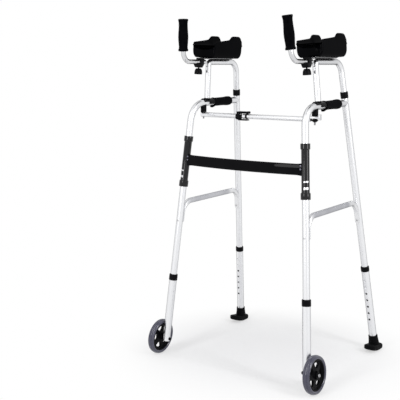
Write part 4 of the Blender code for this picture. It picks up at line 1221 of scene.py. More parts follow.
@dataclass
class Wheel(SubAssembly):
    """Front wheels: grey tyre, five-window hub, axle bolt with its nut."""

    radius: float = 0.0635
    width: float = 0.024
    out: float = 0.0275
    tread_radius: float = 0.008
    axle_radius: float = 0.0040
    rim_radius: float = 0.0510
    windows: int = 5
    window_corner: float = 0.0032
    hub_turns: tuple[float, float] = (-17.0, 12.0)
    hex_sides: int = 6

    def axle(self, out: float = 0.0) -> Vector:
        """Point of the wheel's axle, at a distance outward from the leg's axis.

        Args:
            out: Distance outward from the leg's axis.

        Returns:
            The point.
        """
        p = self.plane
        lean = math.atan(p.splay)
        lowest = (self.radius - self.tread_radius) * math.cos(lean) + self.tread_radius
        h = p.pivot_z + (lowest - p.pivot_z - self.out * math.sin(lean)) / math.cos(lean)
        return Vector((out, p.front_y(h), h))

    def build(self) -> None:
        """Builds and dresses the wheels of both sides."""
        self.pair(self._tyre(), "tyre_ring", TYRE_GREY, "wheel", ["tyre"], sharp=30.0)
        for side, turn in zip(Side, self.hub_turns):
            hub = self._hub(turn)
            if side is Side.RIGHT:
                mirrored(hub)
            name = f"hub_with_windows_{side.word}"
            self.place(hub, name, HUB_BLACK, f"{side.word}_wheel", [f"{side.word}_wheel_hub"], 34.0)
        bolt, nut = self._bolt()
        self.pair(bolt, "axle_screw", SATIN_BLACK, "front_leg", ["axle_bolt"])
        self.pair(nut, "axle_nut", ZINC, "front_leg")

    def _tyre(self) -> bpy.types.Object:
        """Tyre with rounded shoulders and a groove on each side of a raised middle.

        Returns:
            The tyre.
        """
        half = self.width / 2.0
        low = self.rim_radius + 0.0003
        shoulder = [(low, 0.0030), (0.0530, 0.0012), (0.0548, 0.0002), (0.0562, 0.0), (0.0570, 0.0004),
                    (0.0574, 0.0010), (0.0579, 0.0006), (0.0592, 0.0008), (0.0608, 0.0022), (0.0616, 0.0036),
                    (0.0621, 0.0048), (0.0623, 0.0058), (0.0621, 0.0066), (0.0616, 0.0072), (0.0616, 0.0078),
                    (0.0626, 0.0084), (0.0632, 0.0094), (0.0634, 0.0106)]
        side = [(radius, half - inset) for radius, inset in shoulder]
        profile = [(radius, -d) for radius, d in side] + [(self.radius, -0.0004), (self.radius, 0.0004)]
        profile += reversed(side)
        return turned("tyre", self.axle(self.out), X_AXIS, profile, 96, self.plane.matrix, Y_AXIS)

    def _hub(self, turn: float) -> bpy.types.Object:
        """Hub with a rim, a web with rounded windows, and a boss.

        Args:
            turn: Angle in degrees from the top to the first window.

        Returns:
            The hub.
        """
        half = self.width / 2.0 - 0.0030
        bore = self.axle_radius + 0.0003
        profile = [(bore, -0.0130), (0.0110, -0.0130), (0.0126, -0.0042), (0.0420, -0.0034),
                   (0.0446, -0.0056), (0.0458, -half), (self.rim_radius, -half), (self.rim_radius, half),
                   (0.0458, half), (0.0446, 0.0056), (0.0420, 0.0034), (0.0140, 0.0048), (0.0124, 0.0090),
                   (0.0118, 0.0130), (bore, 0.0130)]
        centre = self.axle(self.out)
        hub = turned("hub", centre, X_AXIS, softened(profile, 0.0012), 80, self.plane.matrix, Y_AXIS)
        cutters = []
        for k in range(self.windows):
            outline = self._window(math.radians(90.0 + turn + 360.0 * k / self.windows))
            rings = [[centre + Vector((o, y, h)) for y, h in outline] for o in (-0.02, 0.02)]
            cutters.append(lofted("window", rings, self.plane.matrix))
        return combined(hub, cutters, Joining.CUT)

    def _window(self, middle: float) -> list[tuple[float, float]]:
        """Rounded outline of one hub window about the given angle.

        Args:
            middle: Angle of the window's middle in radians.

        Returns:
            Points of (y, h) from the axle.
        """
        edge = [(0.0220, 14.0), (0.0300, 20.0), (0.0396, 23.0), (0.0400, 12.0)]
        other_edge = [(radius, -spread) for radius, spread in reversed(edge)]
        corners = []
        for radius, spread in edge + [(0.0402, 0.0)] + other_edge:
            angle = middle + math.radians(spread)
            corners.append(Vector((radius * math.cos(angle), radius * math.sin(angle))))
        outline = []
        for before, here, after in zip(corners[-1:] + corners, corners, corners[1:] + corners[:1]):
            reach = min(self.window_corner, (before - here).length * 0.4, (after - here).length * 0.4)
            outline += [tuple(spot) for spot in cut_corner(before, here, after, reach)]
        return outline

    def _bolt(self) -> tuple[bpy.types.Object, bpy.types.Object]:
        """The axle bolt with its round head inboard, and the domed nut outboard.

        Returns:
            The bolt and the nut.
        """
        shaft = [(0.0, -0.0186), (0.0036, -0.0185), (0.0052, -0.0176), (0.0058, -0.0158), (0.0058, -0.0139),
                 (self.axle_radius, -0.0139), (self.axle_radius, 0.0412), (0.0, 0.0412)]
        bolt = turned("bolt", self.axle(), X_AXIS, shaft, 24, self.plane.matrix, Y_AXIS)
        flat = math.tau / self.hex_sides
        hexagon = [1.0 / math.cos(angle % flat - flat / 2.0) for angle in ring_angles(36)]
        cap = [(0.0, 0.0409), (0.0053, 0.0409), (0.0055, 0.0413), (0.0055, 0.0446), (0.0048, 0.0462),
               (0.0034, 0.0468), (0.0029, 0.0462), (0.0028, 0.0434), (0.0, 0.0432)]
        nut = turned("nut", self.axle(), X_AXIS, cap, 36, self.plane.matrix, Y_AXIS, hexagon)
        return bolt, nut


@dataclass
class ForearmSupport(SubAssembly):
    """Arm tube on its saddle, with the cuff, the clamp and the upright grip."""

    arm_z: float = 1.0570
    arm_bore: float = 0.0088
    arm_bends: tuple[float, float] = (0.0125, 0.045)
    arm_rear_end_z: float = 0.742
    front_y: float = -0.0925
    front_lean: float = 0.057
    saddle_y: tuple[float, float] = (-0.1165, -0.0560)
    saddle_outer: float = 0.0143
    saddle_skirt: float = 0.0045
    cuff_y: tuple[float, float] = (-0.134, 0.043)
    cuff_floor_z: float = 1.0712
    cuff_half: float = 0.0478
    cuff_lip: float = 0.0050
    cuff_corner: tuple[float, float] = (0.016, 0.027)
    cuff_gutter: float = 0.034
    cuff_wall: float = 0.0535
    cuff_wall_rise: float = 0.0115
    cuff_inner_rise: float = 0.0034
    cuff_tab: float = 0.0118
    cuff_tab_y: tuple[float, float] = (-0.033, 0.029)
    cuff_tab_slope: float = 0.0035
    cuff_rim: float = 0.0056
    plate_y: tuple[float, float] = (-0.1250, 0.0300)
    plate_half: float = 0.019
    strip_half: float = 0.0165
    strip_inset: float = 0.002
    shim_and_shade: float = 0.0018
    block_y: tuple[float, float] = (-0.1730, -0.1395)
    block_z: float = 1.0375
    block_half: float = 0.0118
    block_edge: float = 0.0022
    knob_z: float = 1.0345
    knob_lobes: int = 6
    grip_tube_z: float = 1.0575
    grip_tube_radius: float = 0.0080
    grip_tube_bore: float = 0.0066
    upright_y: float = -0.2557
    upright_lean: float = 0.111
    upright_bend: float = 0.0395
    upright_h: tuple[float, float] = (1.0930, 1.2000)
    rib_pitch: float = 0.0045
    rib_depth: float = 0.00035
    rib_margins: tuple[float, float] = (0.009, 0.013)

    def build(self) -> None:
        """Builds and dresses the forearm supports of both sides."""
        self._arm()
        self._saddle()
        self._cuff()
        self._plate()
        self._clamp()
        self._knob()
        self._grip()

    def _arm_front(self, h: float) -> Vector:
        """Point of the axis of the arm tube's front leg at height h."""
        return Vector((0.0, self.front_y - self.front_lean * (h - 0.966), h))

    def _arm(self) -> None:
        """The bent arm tube, with the two holes near the top of its front leg."""
        p = self.plane
        level = p.height(self.arm_z)
        low = p.height(p.handle_z + 0.0168)
        corners = [self._arm_front(low), self._arm_front(level), Vector((0.0, p.rear_y(level), level)),
                   p.rear(self.arm_rear_end_z)]
        arm = tube("arm", Path.bent(corners, self.arm_bends, 20), p.arm_radius, self.arm_bore, 40, p.matrix)
        holes = []
        for z, half_tall in ((1.0415, 0.0020), (1.0235, 0.0042)):
            _, y, h = self._arm_front(p.height(z))
            low_corner = (-0.0021, y - 0.013, h - half_tall)
            holes.append(slab("hole", low_corner, (0.0021, y - 0.004, h + half_tall), 0.0016, p.matrix))
        arm = combined(arm, holes, Joining.CUT)
        self.pair(arm, "arm_support_tube", ALUMINIUM, "armrest", ["arm_tube"])

    def _saddle(self) -> None:
        """Shell over the handle tube with a seat for the arm tube and a cap over the bolt's head."""
        p = self.plane
        h = p.height(p.handle_z)
        inner = p.upper_radius + 0.0004
        outer = self.saddle_outer
        arc = [math.radians(a) for a in range(0, 181, 6)]
        section = [(outer, -self.saddle_skirt)]
        section += [(outer * math.cos(a), outer * math.sin(a)) for a in arc]
        section += [(-outer, -self.saddle_skirt), (-inner, -self.saddle_skirt)]
        section += [(inner * math.cos(a), inner * math.sin(a)) for a in reversed(arc)]
        section += [(inner, -self.saddle_skirt)]
        rings = [[p.handle(y) + Vector((o, 0.0, k)) for o, k in section] for y in self.saddle_y]
        shell = lofted("saddle", rings, p.matrix)
        axis = Vector((0.0, -self.front_lean, 1.0)).normalized()
        seat = [(0.0, -0.0034), (0.0116, -0.0034), (0.0116, -0.0006), (0.0110, 0.0), (0.0083, 0.0),
                (0.0083, 0.0180), (0.0, 0.0200)]
        boss = turned("boss", self._arm_front(h + 0.0165), axis, seat, 32, p.matrix)
        dome = [(0.0, 0.0), (0.0082, 0.0), (0.0082, 0.0026), (0.0076, 0.0038), (0.0060, 0.0048),
                (0.0034, 0.0052), (0.0, 0.0053)]
        cap = turned("cap", (p.bolt_x, p.strut_y, p.handle_z + 0.0105), Z_AXIS, dome, 28)
        combined(shell, [boss, cap], Joining.UNITE)
        recess = [(0.0, 0.0), (0.0064, 0.0), (0.0064, 0.0139), (0.0, 0.0139)]
        cutters = [slab("cut", (-0.03, -0.13, h - 0.02), (0.03, -0.088, h + 0.0050), 0.0, p.matrix),
                   tube("cut", SideFrame().front_path(), inner, None, 40, p.matrix),
                   turned("cut", (p.bolt_x, p.strut_y, p.handle_z), Z_AXIS, recess, 24)]
        shell = combined(shell, cutters, Joining.CUT)
        self.pair(shell, "arm_saddle", SATIN_BLACK, "armrest", ["saddle"])

    def _wall_top(self, y: float, rise: float) -> float:
        """Height of a cuff wall above the underside at y, with the raised tab in the middle.

        Args:
            y: Fore-and-aft place.
            rise: What this wall has more than the outer one.

        Returns:
            The height.
        """
        start, end = self.cuff_y
        share = (y - start) / (end - start)
        base = self.cuff_wall + rise + self.cuff_wall_rise * min(1.0, share * 1.6)
        before, after = (1.0 / (1.0 + math.exp(-(y - edge) / self.cuff_tab_slope))
                         for edge in self.cuff_tab_y)
        end_drop = 0.010 * max(0.0, share - 0.93) / 0.07
        return base + self.cuff_tab * (before - after) - end_drop

    def _cuff_half_section(self, top: float, inset: float) -> list[tuple[float, float]]:
        """Half of the cuff's section, from the middle of its underside round the wall to the gutter's middle.

        Args:
            top: Height of the wall.
            inset: How far the section is drawn in, near the rims.

        Returns:
            Points of (outward, up).
        """
        wide, tall = self.cuff_corner
        half = self.cuff_half
        points = [((half - wide) * 0.5, inset)]
        for k in range(9):
            turn = math.radians(90.0 - 11.25 * k)
            out = half - wide + (wide - inset) * math.cos(turn)
            points.append((out, tall - (tall - inset) * math.sin(turn)))
        crown = self.cuff_lip / 2.0
        points.append((half - inset, (tall + top - crown) / 2.0))
        reach = max(0.0006, crown - inset)
        for k in range(7):
            turn = math.radians(30.0 * k)
            points.append((half - crown + reach * math.cos(turn), top - crown + reach * math.sin(turn)))
        across_gutter = half - self.cuff_lip + inset
        deep = top - crown - self.cuff_gutter + inset
        for k in range(1, 12):
            turn = math.radians(7.5 * k)
            points.append((across_gutter * math.cos(turn), top - crown - deep * math.sin(turn)))
        return points

    def _cuff(self) -> None:
        """Thick moulded pad with an elliptical gutter and rounded rims."""
        p = self.plane
        floor = p.height(self.cuff_floor_z)
        start, end = self.cuff_y
        steps = [0.0, 0.0004, 0.0012, 0.0022, 0.0034, 0.0046, 0.0056, 0.0080]
        stations = [start + step for step in steps] + [end - step for step in steps]
        stations += [start + 0.014 + 0.008 * k for k in range(9)]
        stations += [-0.0440, -0.0400, -0.0365, -0.0330, -0.0295, -0.0260, -0.0220, -0.0160, -0.0060, 0.0060,
                     0.0140, 0.0190, 0.0225, 0.0260, 0.0290, 0.0325]
        rings = []
        for y in sorted(set(round(y, 5) for y in stations)):
            rim = min(y - start, end - y, self.cuff_rim)
            inset = self.cuff_rim - math.sqrt(self.cuff_rim ** 2 - (self.cuff_rim - rim) ** 2)
            near = self._cuff_half_section(self._wall_top(y, 0.0) - inset, inset)
            far = self._cuff_half_section(self._wall_top(y, self.cuff_inner_rise) - inset, inset)
            ring = near + [(0.0, self.cuff_gutter - inset)] + [(-o, k) for o, k in reversed(far)]
            ring.append((0.0, inset))
            rings.append([Vector((o, y, floor + k)) for o, k in ring])
        cuff = lofted("cuff", rings, p.matrix)
        for piece in self.pair(cuff, "forearm_cuff", CUFF_BLACK, "armrest", ["cuff"], sharp=50.0):
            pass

    def _plate(self) -> None:
        """The plate under the cuff, and the black strip between it and the arm tube. The strip is partly a
        shim and partly a dark sheet that stands for the shade under the plate.
        """
        p = self.plane
        front, rear = self.plate_y
        low = p.height(self.arm_z + p.arm_radius + 0.0006)
        high = p.height(self.cuff_floor_z - 0.0004)
        plate = slab("plate", (-self.plate_half, front, low + self.shim_and_shade), (self.plate_half, rear, high),
                     0.0005, p.matrix)
        self.pair(plate, "cuff_support_plate", PLATED, "armrest", ["cuff_plate"])
        # Painted shade: the black strip is partly a shim and partly stands for the shade under the plate.
        strip = slab("strip", (-self.strip_half, front + self.strip_inset, low),
                     (self.strip_half, rear - self.strip_inset, low + self.shim_and_shade), 0.0006, p.matrix)
        self.pair(strip, "cuff_plate_shim_and_shade_strip", SATIN_BLACK, "armrest")

    def _clamp(self) -> None:
        """Clamp block that holds the grip tube."""
        p = self.plane
        low = p.height(self.block_z)
        high = p.height(self.cuff_floor_z - 0.0004)
        h = p.height(self.grip_tube_z)
        front, rear = self.block_y
        lip = h - 0.0050
        step = front + 0.0140
        outline = [(front, lip), (front, low + 0.0100), (front + 0.0085, low), (rear - 0.0085, low),
                   (rear, low + 0.0100), (rear, high), (step, high), (step, lip)]
        block = prism("block", outline, (-self.block_half, self.block_half), self.block_edge, p.matrix)
        hole = Path.line((0.0, -0.22, h), (0.0, -0.10, h))
        bore = tube("bore", hole, self.grip_tube_radius + p.gap, None, 32, p.matrix)
        y = (front + rear) / 2.0
        stud = tube("stud", Path.line((0.0, y, low - 0.01), (0.0, y, h)), 0.0034, None, 20, p.matrix)
        block = combined(block, [bore, stud], Joining.CUT)
        self.pair(block, "grip_clamp_block", SATIN_BLACK, "armrest", ["clamp_block"])

    def _knob(self) -> None:
        """Lobed knob under the clamp block, with its stud."""
        p = self.plane
        top = p.height(self.knob_z)
        tip = p.height(self.grip_tube_z) - self.grip_tube_radius - 0.0006 - top
        profile = [(0.0, tip), (0.0030, tip), (0.0030, 0.0), (0.0068, 0.0), (0.0086, -0.0004),
                   (0.0098, -0.0013), (0.0112, -0.0030), (0.0122, -0.0048), (0.0131, -0.0072),
                   (0.0137, -0.0098), (0.0141, -0.0125), (0.0143, -0.0155), (0.0143, -0.0188),
                   (0.0139, -0.0201), (0.0128, -0.0205), (0.0098, -0.0198), (0.0, -0.0190)]
        at = (0.0, sum(self.block_y) / 2.0, top)
        knob = turned("knob", at, Z_AXIS, profile, 48, p.matrix, shape=waves(self.knob_lobes, 0.035))
        self.pair(knob, "grip_clamp_knob", SATIN_BLACK, "clamp_screw", ["clamp_knob"])

    def _grip(self) -> None:
        """The bent grip tube and the ribbed upright grip on it."""
        p = self.plane
        h = p.height(self.grip_tube_z)
        axis = Vector((0.0, -self.upright_lean, 1.0)).normalized()
        corner = Vector((0.0, self.upright_y + self.upright_lean * (1.100 - h) + 0.002, h))
        low, high = (p.height(z) for z in self.upright_h)
        base = corner + axis * ((low - h) / axis.z)
        length = (high - low) / axis.z
        top = corner + axis * ((low - h) / axis.z + length - 0.008)
        path = Path.bent([Vector((0.0, self.block_y[1] + 0.018, h)), corner, top], [self.upright_bend], 22)
        bar = tube("bar", path, self.grip_tube_radius, self.grip_tube_bore, 36, p.matrix)
        self.pair(bar, "grip_bar", PLATED, "forearm_grip", ["grip_tube"])
        grip = turned("grip", base, axis, self._grip_profile(length), 48, p.matrix)
        hollow = Path.line(base - axis * 0.01, base + axis * (length - 0.0070))
        cut = tube("cut", hollow, self.grip_tube_radius + p.gap, None, 28, p.matrix)
        grip = combined(grip, [cut], Joining.CUT)
        self.pair(grip, "upright_hand_grip", GRIP_BLACK, "forearm_grip", ["upright_grip"], sharp=50.0)

    def _grip_profile(self, length: float) -> list[tuple[float, float]]:
        """Waisted profile of the upright grip, ribbed between its end rings.

        Args:
            length: Length of the grip.

        Returns:
            Points of (radius, distance).
        """
        outline = [(0.0000, 0.0154), (0.0008, 0.0166), (0.0020, 0.0171), (0.0050, 0.0171), (0.0062, 0.0167),
                   (0.0074, 0.0159), (0.0090, 0.0155), (0.0160, 0.0155), (0.0250, 0.0162), (0.0330, 0.0169),
                   (0.0410, 0.0174), (0.0480, 0.0176), (0.0560, 0.0173), (0.0660, 0.0166), (0.0760, 0.0159),
                   (0.0850, 0.0156)]
        ring = [(0.0110, 0.0156), (0.0084, 0.0160), (0.0072, 0.0167), (0.0060, 0.0170), (0.0026, 0.0170),
                (0.0012, 0.0165), (0.0004, 0.0154)]
        outline += [(length - distance, radius) for distance, radius in ring]
        lower, upper = self.rib_margins
        steps = 150
        profile = [(0.0, 0.0)]
        for k in range(steps + 1):
            run = outline[-1][0] * k / steps
            for (a, ra), (b, rb) in zip(outline, outline[1:]):
                if a <= run <= b:
                    radius = ra + (rb - ra) * (run - a) / (b - a)
            if lower < run < length - upper:
                radius += self.rib_depth * (math.cos(math.tau * run / self.rib_pitch) - 1.0)
            profile.append((radius, run))
        return profile + [(0.0100, length), (0.0, length)]


@dataclass
class FrontBar(SubAssembly):
    """The bowed crossbar and the two sleeves it is riveted to."""

    sleeve_z: tuple[float, float] = (0.6185, 0.7975)
    sleeve_radius: float = 0.0134
    bar_z: float = 0.7135
    height: float = 0.037
    depth: float = 0.015
    bow: float = 0.025
    end_share: float = 0.985
    flare_share: float = 0.86
    flare: tuple[float, float] = (0.0015, 0.0045)
    rivet_share: float = 0.94
    rivet_rise: tuple[float, float] = (0.0125, 0.0015)
    rivet_sink: float = 0.0020

    def build(self) -> None:
        """Builds and dresses the crossbar with its rivets and both sleeves."""
        self.place(self._bar(), "front_crossbar", GLOSS_BLACK, BASE, ["crossbar"], sharp=45.0)
        self.place(self._rivets(), "crossbar_rivets", RIVET_STEEL, BASE)
        self.pair(self._sleeve(), "leg_sleeve", SLEEVE_BLACK, BASE, ["sleeve"])

    def _spot(self, share: float) -> tuple[Vector, Vector]:
        """Point and direction of the bar's middle line.

        Args:
            share: Place along the bar, from -1 at the right leg to 1 at the left one.

        Returns:
            The point and the direction.
        """
        leg = self.plane.matrix @ self.plane.front(self.bar_z)
        radius = (leg.x ** 2 + self.bow ** 2) / (2.0 * self.bow)
        angle = math.asin(leg.x / radius) * share
        y = leg.y - self.bow + radius * (1.0 - math.cos(angle))
        point = Vector((radius * math.sin(angle), y, self.bar_z))
        return point, Vector((math.cos(angle), math.sin(angle), 0.0))

    def _bar(self) -> bpy.types.Object:
        """The bar: an oval moulding whose ends widen and are hollowed to the sleeves.

        Returns:
            The bar.
        """
        ends = [round(self.end_share - 0.005 * k, 4) for k in range(26)]
        middle = [round(0.06 * k - self.flare_share, 4) for k in range(1, 29)]
        rings = []
        for share in sorted({-s for s in ends} | set(middle) | set(ends)):
            point, way = self._spot(share)
            side = Vector((-way.y, way.x, 0.0))
            end = max(0.0, (abs(share) - self.flare_share) / (self.end_share - self.flare_share))
            deep = self.depth / 2.0 + self.flare[0] * end * end
            tall = self.height / 2.0 + self.flare[1] * end * end
            rings.append(oval(point, (side, Z_AXIS), (deep, tall), (0.7, 0.62), 40))
        bar = lofted("bar", rings)
        cutters = []
        for side in Side:
            ends_of_cut = [self.plane.matrix @ self.plane.front(self.bar_z + dz) for dz in (-0.05, 0.05)]
            for point in ends_of_cut:
                point.x *= side.value
            cutters.append(tube("cut", Path.line(*ends_of_cut), self.sleeve_radius + self.plane.gap, None, 48,
                                None, Y_AXIS))
        return combined(bar, cutters, Joining.CUT)

    def _rivets(self) -> bpy.types.Object:
        """Four low rivet heads on the bar's front face near its ends.

        Returns:
            The rivets.
        """
        profile = [(0.0, 0.0), (0.0036, 0.0), (0.0036, 0.0024), (0.0030, 0.0034), (0.0018, 0.0040),
                   (0.0, 0.0041)]
        heads = []
        for share in (-self.rivet_share, self.rivet_share):
            point, way = self._spot(share)
            out = Vector((way.y, -way.x, 0.0))
            for rise in self.rivet_rise:
                base = point + out * (self.depth / 2.0 - self.rivet_sink) + Z_AXIS * rise
                heads.append(turned("head", base, out, profile, 20, None, Z_AXIS))
        return merged(heads)

    def _sleeve(self) -> bpy.types.Object:
        """A sleeve with end rings and two slots that show the tube.

        Returns:
            The left sleeve.
        """
        p = self.plane
        low = p.front(self.sleeve_z[0])
        length = (p.front(self.sleeve_z[1]) - low).length
        bore = p.upper_radius + p.gap
        profile = [(bore, 0.0), (0.0163, 0.0), (0.0163, 0.0205), (self.sleeve_radius, 0.0230),
                   (self.sleeve_radius, length - 0.0200), (0.0160, length - 0.0180), (0.0160, length),
                   (bore, length)]
        sleeve = turned("sleeve", low, p.front_dir, softened(profile, 0.0010), 48, p.matrix)
        cutters = []
        for z, tall in ((0.6765, 0.0050), (0.6552, 0.0080)):
            _, y, h = p.front(z)
            corners = (-0.0025, y - 0.03, h - tall / 2.0), (0.03, y + 0.0025, h + tall / 2.0)
            cutters.append(slab("slot", *corners, 0.0, p.matrix))
        return combined(sleeve, cutters, Joining.CUT)


@dataclass
class Strut(SubAssembly):
    """The folding strut with its centre lock and the thumb nut."""

    radius: float = 0.0080
    bore: float = 0.0065
    lug_z: tuple[float, float] = (0.8727, 0.8800)
    lug_length: tuple[float, float] = (0.0200, 0.0195)
    lug_half: float = 0.0100
    lip_z: tuple[float, float] = (0.8680, 0.8865)
    left_tip: float = -0.0548
    right_tip: float = -0.0660
    body_x: tuple[float, float] = (-0.0815, -0.0640)
    body_z: tuple[float, float] = (0.8585, 0.8785)
    body_half: float = 0.0098
    ear_y: tuple[float, float] = (0.0081, 0.0104)
    prong_x: tuple[float, float] = (-0.0710, -0.0340)
    prong_z: tuple[float, float] = (0.8556, 0.8601)
    ring_x: tuple[float, float] = (-0.0425, -0.0352)
    pin: tuple[float, float] = (-0.0704, 0.8828)
    latch_tip: float = -0.0330
    latch_z: tuple[float, float] = (0.8796, 0.8870)
    nut_flutes: int = 8

    def build(self) -> None:
        """Builds and dresses the rods, the lock and the nut."""
        self.place(self._left_rod(), "strut_rod_left", ALUMINIUM, "left_strut", ["left_strut_rod"])
        self.place(self._right_rod(), "strut_rod_right", ALUMINIUM, "right_strut", ["right_strut_rod"])
        self.place(self._lock_body(), "strut_lock_body", SATIN_BLACK, "right_strut", ["lock_body"])
        self.place(self._ring(), "strut_lock_ring", SATIN_BLACK, "left_strut", ["lock_ring"])
        self.place(self._latch(), "strut_lock_latch", SATIN_BLACK, "latch", ["lock_latch"])
        self.place(self._nut(), "strut_thumb_nut", SATIN_BLACK, "nut", ["thumb_nut"])

    def _rod(self, start: float, end: float, radius: float, bore: float | None) -> bpy.types.Object:
        """A round rod on the strut's axis between two places of X."""
        axis = Path.line(*(Vector((x, self.plane.strut_y, self.plane.strut_z)) for x in (start, end)))
        return tube("rod", axis, radius, bore, 40, None, Y_AXIS)

    def _left_rod(self) -> bpy.types.Object:
        """Round rod with a flat lug for the bolt and an end plate across it.

        Returns:
            The rod.
        """
        x, y = self.plane.bolt_x, self.plane.strut_y
        near = x - self.lug_length[0]
        far = x + self.lug_length[1]
        half = self.lug_half
        rod = self._rod(self.left_tip, near + 0.0060, self.radius, self.bore)
        lug = slab("lug", (near, y - half, self.lug_z[0]), (far, y + half, self.lug_z[1]), 0.0014)
        lip = slab("lip", (far - 0.0032, y - half + 0.0005, self.lip_z[0]),
                   (far - 0.0002, y + half - 0.0005, self.lip_z[1]), 0.0012)
        return combined(rod, [lug, lip], Joining.UNITE)

    def _right_rod(self) -> bpy.types.Object:
        """Round rod that hangs on the right bolt."""
        return self._rod(-self.plane.bolt_x - 0.009, self.right_tip, self.radius, self.bore)

    def _plate(self, name: str, low: tuple[float, float], high: tuple[float, float], corner: float,
               half: float, edge: float) -> bpy.types.Object:
        """A plate across Y with rounded corners and softened rims.

        Args:
            name: Name of the object.
            low: Lowest (x, z).
            high: Highest (x, z).
            corner: Corner radius of the outline.
            half: Half of its size along Y.
            edge: Softening of its rims.

        Returns:
            The plate.
        """
        stations = [(-half, edge), (-half + edge * 0.3, edge * 0.3), (-half + edge, 0.0)]
        centres = [(high[0] - corner, high[1] - corner), (low[0] + corner, high[1] - corner),
                   (low[0] + corner, low[1] + corner), (high[0] - corner, low[1] + corner)]
        rings = []
        for y, inset in stations + [(-y, inset) for y, inset in reversed(stations)]:
            reach = corner - inset
            ring = []
            for quarter, (x, z) in enumerate(centres):
                for k in range(7):
                    angle = math.radians(90.0 * quarter + 15.0 * k)
                    ring.append(Vector((x + reach * math.cos(angle), self.plane.strut_y + y,
                                        z + reach * math.sin(angle))))
            rings.append(ring)
        return lofted(name, rings)

    def _lock_body(self) -> bpy.types.Object:
        """Rounded body on the right rod with ears for the latch pin and the lower prong.

        Returns:
            The body.
        """
        x, z = self.pin
        y = self.plane.strut_y
        (left, right), (low, high) = self.body_x, self.body_z
        body = self._plate("body", (left, low), (right, high), 0.0065, self.body_half, 0.0016)
        ears = []
        for side in (-1.0, 1.0):
            near, far = sorted(side * edge for edge in self.ear_y)
            ears.append(slab("ear", (x - 0.0052, y + near, 0.8720), (x + 0.0046, y + far, 0.8866), 0.0010))
        prong = self._plate("prong", (self.prong_x[0], self.prong_z[0]), (self.prong_x[1], self.prong_z[1]),
                            0.0020, 0.0086, 0.0010)
        combined(body, ears + [prong], Joining.UNITE)
        rod = self._rod(left - 0.04, self.right_tip + 0.0004, self.radius + self.plane.gap, None)
        hole = tube("hole", Path.line((x, y - 0.0100, z), (x, y + 0.0100, z)), 0.0022, None, 16)
        return combined(body, [rod, hole], Joining.CUT)

    def _ring(self) -> bpy.types.Object:
        """Ring round the inner end of the left rod.

        Returns:
            The ring.
        """
        start, end = self.ring_x
        bore = self.radius + self.plane.gap
        length = end - start
        profile = [(bore, 0.0), (0.0086, 0.0), (0.0090, 0.0006), (0.0090, length - 0.0006), (0.0086, length),
                   (bore, length)]
        at = (start, self.plane.strut_y, self.plane.strut_z)
        return turned("ring", at, X_AXIS, profile, 40, None, Y_AXIS)

    def _latch(self) -> bpy.types.Object:
        """Latch arm with a round tab at its free end and stub pins at its hinge.

        Returns:
            The latch.
        """
        x, z = self.pin
        y = self.plane.strut_y
        low, high = self.latch_z
        arm = self._plate("latch", (x - 0.0032, low), (self.latch_tip, high), 0.0030, 0.0078, 0.0010)
        rim = [(0.0, 0.0), (0.0036, 0.0), (0.0046, 0.0010), (0.0046, 0.0158), (0.0036, 0.0168), (0.0, 0.0168)]
        tab = turned("tab", (self.latch_tip - 0.0005, y - 0.0084, (low + high) / 2.0), Y_AXIS, rim, 28)
        pin = tube("pin", Path.line((x, y - 0.0096, z), (x, y + 0.0096, z)), 0.0018, None, 16)
        return combined(arm, [tab, pin], Joining.UNITE)

    def _nut(self) -> bpy.types.Object:
        """Thumb nut with a scalloped edge.

        Returns:
            The nut.
        """
        profile = [(0.0034, 0.0), (0.0060, 0.0), (0.0086, -0.0014), (0.0108, -0.0034), (0.0112, -0.0044),
                   (0.0112, -0.0058), (0.0104, -0.0070), (0.0076, -0.0092), (0.0050, -0.0110),
                   (0.0034, -0.0112)]
        at = (self.plane.bolt_x, self.plane.strut_y, self.lug_z[0] - 0.0006)
        return turned("nut", at, Z_AXIS, profile, 48, None, shape=waves(self.nut_flutes, 0.05))


